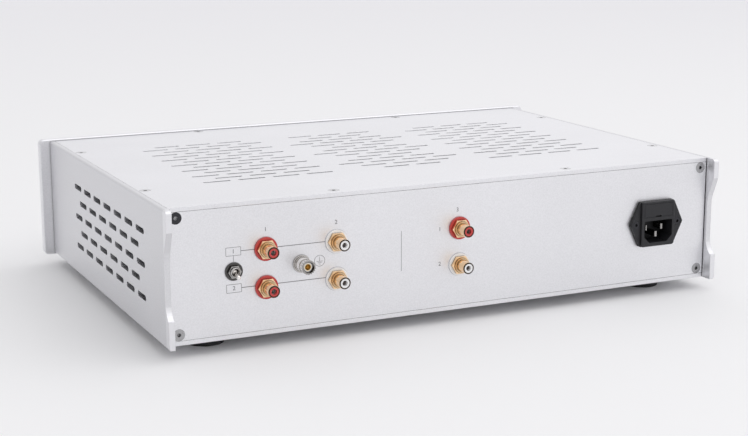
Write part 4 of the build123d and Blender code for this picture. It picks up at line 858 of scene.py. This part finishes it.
class PREAMP_OT_finish_inlet(StepOperator, bpy.types.Operator):
    """Black mains inlet with its blades, fuse drawer and fuses"""

    bl_idname = "preamp.finish_inlet"
    bl_label = "Finish mains inlet"

    def execute(self, context):
        tones = context.scene.preamp_finish
        # Crease shade reaching 6 mm paints shade deep in the socket
        black = moulded_plastic(
            "inlet_moulding", tint(tones.black_plastic, factor=0.8), rough=0.5, edge=0.3 * MM,
            grain=0.5 * MM, shade_reach=6 * MM,
        )
        dress(black, "inlet_housing", "fuse_drawer")
        # The blades are a darker copy of the nickel with far-reaching crease shade: painted shade
        # of the cavity
        blades = plated_metal(
            "blade_plating_painted_shade", tint(tones.nickel, factor=0.7), rough=0.22, shade_reach=14 * MM
        )
        dress(blades, "inlet_blades", "fuse_caps")
        dress(clear_glass("fuse_glass"), "fuse_tubes")
        return {"FINISHED"}


class PREAMP_OT_finish_inside(StepOperator, bpy.types.Operator):
    """Boards, components, transformer and leads inside the case"""

    bl_idname = "preamp.finish_inside"
    bl_label = "Finish inside"

    def execute(self, context):
        tones = context.scene.preamp_finish
        dress(circuit_board("solder_mask"), "preamp_board", "supply_board")
        dress(components("component_cases"), "preamp_parts", "supply_parts")
        dress(plated_metal("standoff_brass", tones.brass, rough=0.25), "board_standoffs")
        dress(wound_tape("wound_tape", centre(*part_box("transformer"))), "transformer")
        dress(moulded_plastic("power_lead", tones.power_lead, rough=0.4), "power_leads")
        dress(moulded_plastic("signal_lead", tones.signal_lead, rough=0.45), "signal_leads")
        return {"FINISHED"}


# ------------------------------------------------------------------ printing
class PREAMP_OT_print_rear_panel(StepOperator, bpy.types.Operator):
    """Lines, boxes, numbers and ground symbol on the rear panel"""

    bl_idname = "preamp.print_rear_panel"
    bl_label = "Print rear panel"

    def execute(self, context):
        sizes = context.scene.preamp_print
        ink = moulded_plastic(
            "panel_ink", context.scene.preamp_finish.ink, rough=0.5, grain=0.2 * MM
        )
        line, thin, proud = sizes.line_width, sizes.thin_width, sizes.ink_thickness
        box_width, box_height = sizes.box_width, sizes.box_height
        right, left = MOUNTS["input_one_right_shell"], MOUNTS["input_one_left_shell"]
        low, output = MOUNTS["input_two_right_shell"], MOUNTS["output_right_shell"]
        selector = centre(*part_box("selector_washer"))
        rows = (right.z + UPPER_LINE_LIFT, low.z + LOWER_LINE_LIFT)

        merge([
            ink_frame(selector.x, z, box_width, box_height, sizes.box_corner, thin, proud)
            for z in rows
        ])
        settle("print_boxes", ink)

        start_x = selector.x - box_width / 2
        end_x = left.x + WASHER_REACH
        lines = [
            ink_bar((start_x + end_x) / 2, z, start_x - end_x, line, proud) for z in rows
        ]
        stem_top = rows[0] - box_height / 2
        stem_low = selector.z + STEM_GAP
        stem_z = (stem_top + stem_low) / 2
        lines.append(ink_bar(selector.x, stem_z, thin, stem_top - stem_low, proud))
        divider_x = (left.x + output.x) / 2 + DIVIDER_SHIFT
        lines.append(ink_bar(divider_x, sum(rows) / 2, thin, DIVIDER_HEIGHT, proud))
        merge(lines)
        settle("print_lines", ink)

        ground = MOUNTS["ground_terminal"]
        symbol_x, symbol_z = ground.x + SYMBOL_SHIFT[0], ground.z + SYMBOL_SHIFT[1]
        radius = sizes.symbol_radius
        rise, tall = (share * radius for share in SYMBOL_UPRIGHT)
        symbol = [
            ink_circle(symbol_x, symbol_z, radius, thin, proud),
            ink_bar(symbol_x, symbol_z + rise, thin, tall, proud),
        ]
        for drop, share in SYMBOL_BARS:
            symbol.append(ink_bar(symbol_x, symbol_z - drop * radius, share * radius, thin, proud))
        merge(symbol)
        settle("print_ground_symbol", ink)

        above = right.z + NUMBER_LIFT
        beside = output.x + NUMBER_REACH
        marks = (
            ("1", selector.x, rows[0]),
            ("2", selector.x, rows[1]),
            ("1", right.x, above),
            ("2", left.x, above),
            ("3", output.x + OUTPUT_NUMBER_SHIFT, above),
            ("1", beside, rows[0]),
            ("2", beside, rows[1]),
        )
        merge([ink_digit(digit, x, z, sizes.digit_height, proud) for digit, x, z in marks])
        settle("print_numbers", ink)
        return {"FINISHED"}


# ------------------------------------------------------------------ small trim
class PREAMP_OT_add_bushing_thread(StepOperator, bpy.types.Operator):
    """Thread on the selector switch's bushing, ahead of its nut"""

    bl_idname = "preamp.add_bushing_thread"
    bl_label = "Add bushing thread"

    def execute(self, context):
        sizes = context.scene.preamp_detail
        low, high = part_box("selector_nut")
        middle = centre(low, high)
        start_y = high.y - THREAD_SINK
        turns = int((REAR_Y + THREAD_END - start_y) / sizes.thread_pitch)
        deselect()
        bpy.ops.mesh.primitive_circle_add(
            vertices=RIDGE_CORNERS, radius=sizes.thread_height, fill_type="NOTHING",
            location=(BUSHING_RADIUS, 0, 0), rotation=(pi / 2, 0, 0),
        )
        bpy.ops.object.transform_apply(location=True, rotation=True, scale=True)
        apply_modifier(
            "SCREW", axis="Z", angle=2 * pi, screw_offset=sizes.thread_pitch, iterations=turns,
            steps=THREAD_STEPS, render_steps=THREAD_STEPS, use_merge_vertices=False,
        )
        edit()
        bpy.ops.mesh.select_all(action="DESELECT")
        bpy.ops.mesh.select_non_manifold(extend=False)
        bpy.ops.mesh.fill_holes(sides=RIDGE_CORNERS)
        bpy.ops.mesh.select_all(action="SELECT")
        bpy.ops.mesh.normals_make_consistent(inside=False)
        bpy.ops.object.mode_set(mode="OBJECT")
        thread = bpy.context.object
        thread.rotation_euler = (-pi / 2, 0, 0)
        thread.location = (middle.x, start_y, middle.z)
        settle("bushing_thread", bpy.data.materials["nickel_plating"])
        return {"FINISHED"}


# ------------------------------------------------------------------ stage
CAMERA_PLACE = (0.5003, 1.0664, 0.3019)
CAMERA_YAW = radians(25.243)
CAMERA_PITCH = radians(12.227)
CAMERA_ROLL = radians(-0.158)
# How far the camera sees, in metres
CAMERA_REACH = 50
# Width of the picture and focal length, in pixels, and width of the sensor, in millimetres
FRAME_WIDTH = 748
FOCAL_PIXELS = 1538.69
SENSOR_WIDTH = 36.0
SOFTBOX_PLACE = (-0.5, 0.95, 2.3)
SOFTBOX_SIDES = (3.4, 2.6)
SKY_COLOUR = (0.99, 0.985, 1.0, 1)
# Growth of the sky's brightness towards +X, +Y and +Z
SKY_LEAN = (-0.24, -0.05, 0.0)
# Distances from the middle between which the floor turns from its near to its far colour
FLOOR_FADE = (0.7, 3.6)


def camera_turn(yaw, pitch, roll):
    """Rotation of a camera that looks to -Y, turned by yaw, tilted down by pitch and rolled."""
    ahead = Vector((-sin(yaw) * cos(pitch), -cos(yaw) * cos(pitch), -sin(pitch)))
    level = ahead.cross(Vector((0, 0, 1))).normalized()
    upright = level.cross(ahead)
    right = cos(roll) * level + sin(roll) * upright
    up = cos(roll) * upright - sin(roll) * level
    return Matrix((right, up, -ahead)).transposed()


def softbox(name, place, target, sides, power):
    """Rectangular lamp that points at the target."""
    bpy.ops.object.light_add(type="AREA", location=place)
    lamp = bpy.context.object
    lamp.name = name
    lamp.data.shape = "RECTANGLE"
    lamp.data.size, lamp.data.size_y = sides
    lamp.data.energy = power
    lamp.rotation_euler = (target - Vector(place)).to_track_quat("-Z", "Y").to_euler()


class PREAMP_OT_set_stage(StepOperator, bpy.types.Operator):
    """Pale floor, soft light and camera"""

    bl_idname = "preamp.set_stage"
    bl_label = "Set stage"

    def execute(self, context):
        sizes = context.scene.preamp_stage
        deselect()
        bpy.ops.mesh.primitive_plane_add(size=sizes.floor_size, location=(0, 0, 0))
        floor = context.object
        floor.name = "studio_floor"
        kit = Finish("studio_floor", ior=FLOOR_IOR)
        away = kit.span(kit.distance(kit.place), 0, 1, *FLOOR_FADE)
        tone = kit.shade(away, sizes.floor_near, sizes.floor_far, start=0, end=1)
        rough_map = kit.span(kit.noise(FLOOR_CLOUD_SIZE, detail=1), low=0.75, high=0.85)
        floor.data.materials.append(kit.finish(tone, rough_map))

        softbox("large_softbox", SOFTBOX_PLACE, centre(*CAD_BOX), SOFTBOX_SIDES, sizes.key_power)

        world = bpy.data.worlds.new("studio")
        context.scene.world = world
        world.use_nodes = True
        tree = world.node_tree
        light = tree.nodes["Background"]
        light.inputs["Color"].default_value = SKY_COLOUR
        direction = add_node(tree, "ShaderNodeTexCoord").outputs["Generated"]
        lean = add_node(
            tree, "ShaderNodeVectorMath", {0: direction, 1: SKY_LEAN}, operation="DOT_PRODUCT"
        ).outputs["Value"]
        level = add_node(tree, "ShaderNodeMath", {0: lean, 1: sizes.sky_strength}, operation="ADD")
        tree.links.new(level.outputs[0], light.inputs["Strength"])

        turn = camera_turn(CAMERA_YAW, CAMERA_PITCH, CAMERA_ROLL)
        bpy.ops.object.camera_add()
        camera = context.object
        camera.name = "camera"
        camera.matrix_world = Matrix.Translation(CAMERA_PLACE) @ turn.to_4x4()
        camera.data.sensor_width = SENSOR_WIDTH
        camera.data.angle = 2 * atan(FRAME_WIDTH / 2 / FOCAL_PIXELS)
        camera.data.clip_end = CAMERA_REACH
        context.scene.camera = camera
        context.scene.view_settings.view_transform = "Standard"
        return {"FINISHED"}


# ------------------------------------------------------------------ panel and registration
STEPS = (
    PREAMP_OT_finish_case,
    PREAMP_OT_finish_fasteners,
    PREAMP_OT_finish_jacks,
    PREAMP_OT_finish_controls,
    PREAMP_OT_finish_inlet,
    PREAMP_OT_finish_inside,
    PREAMP_OT_print_rear_panel,
    PREAMP_OT_add_bushing_thread,
    PREAMP_OT_set_stage,
)
SETTINGS = {
    "preamp_finish": PreampFinishSettings,
    "preamp_print": PreampPrintSettings,
    "preamp_detail": PreampDetailSettings,
    "preamp_stage": PreampStageSettings,
}


class PREAMP_PT_sidebar(bpy.types.Panel):
    """Steps and settings of the preamplifier"""

    bl_label = "Phono preamplifier"
    bl_idname = "PREAMP_PT_sidebar"
    bl_space_type = "VIEW_3D"
    bl_region_type = "UI"
    bl_category = "Preamp"

    def draw(self, context):
        for step in STEPS:
            self.layout.operator(step.bl_idname)
        for name in SETTINGS:
            settings = getattr(context.scene, name)
            box = self.layout.box()
            for key in settings.__annotations__:
                box.prop(settings, key)


def register():
    """Makes the settings, steps and panel known to Blender."""
    for settings in SETTINGS.values():
        bpy.utils.register_class(settings)
    for name, settings in SETTINGS.items():
        setattr(bpy.types.Scene, name, PointerProperty(type=settings))
    for step in STEPS:
        bpy.utils.register_class(step)
    bpy.utils.register_class(PREAMP_PT_sidebar)


def unregister():
    """Takes everything out again, in the opposite order."""
    bpy.utils.unregister_class(PREAMP_PT_sidebar)
    for step in reversed(STEPS):
        bpy.utils.unregister_class(step)
    for name in SETTINGS:
        delattr(bpy.types.Scene, name)
    for settings in SETTINGS.values():
        bpy.utils.unregister_class(settings)


def main():
    register()
    bpy.ops.preamp.finish_case()
    bpy.ops.preamp.finish_fasteners()
    bpy.ops.preamp.finish_jacks()
    bpy.ops.preamp.finish_controls()
    bpy.ops.preamp.finish_inlet()
    bpy.ops.preamp.finish_inside()
    bpy.ops.preamp.print_rear_panel()
    bpy.ops.preamp.add_bushing_thread()
    bpy.ops.preamp.set_stage()


if __name__ == "__main__":
    main()
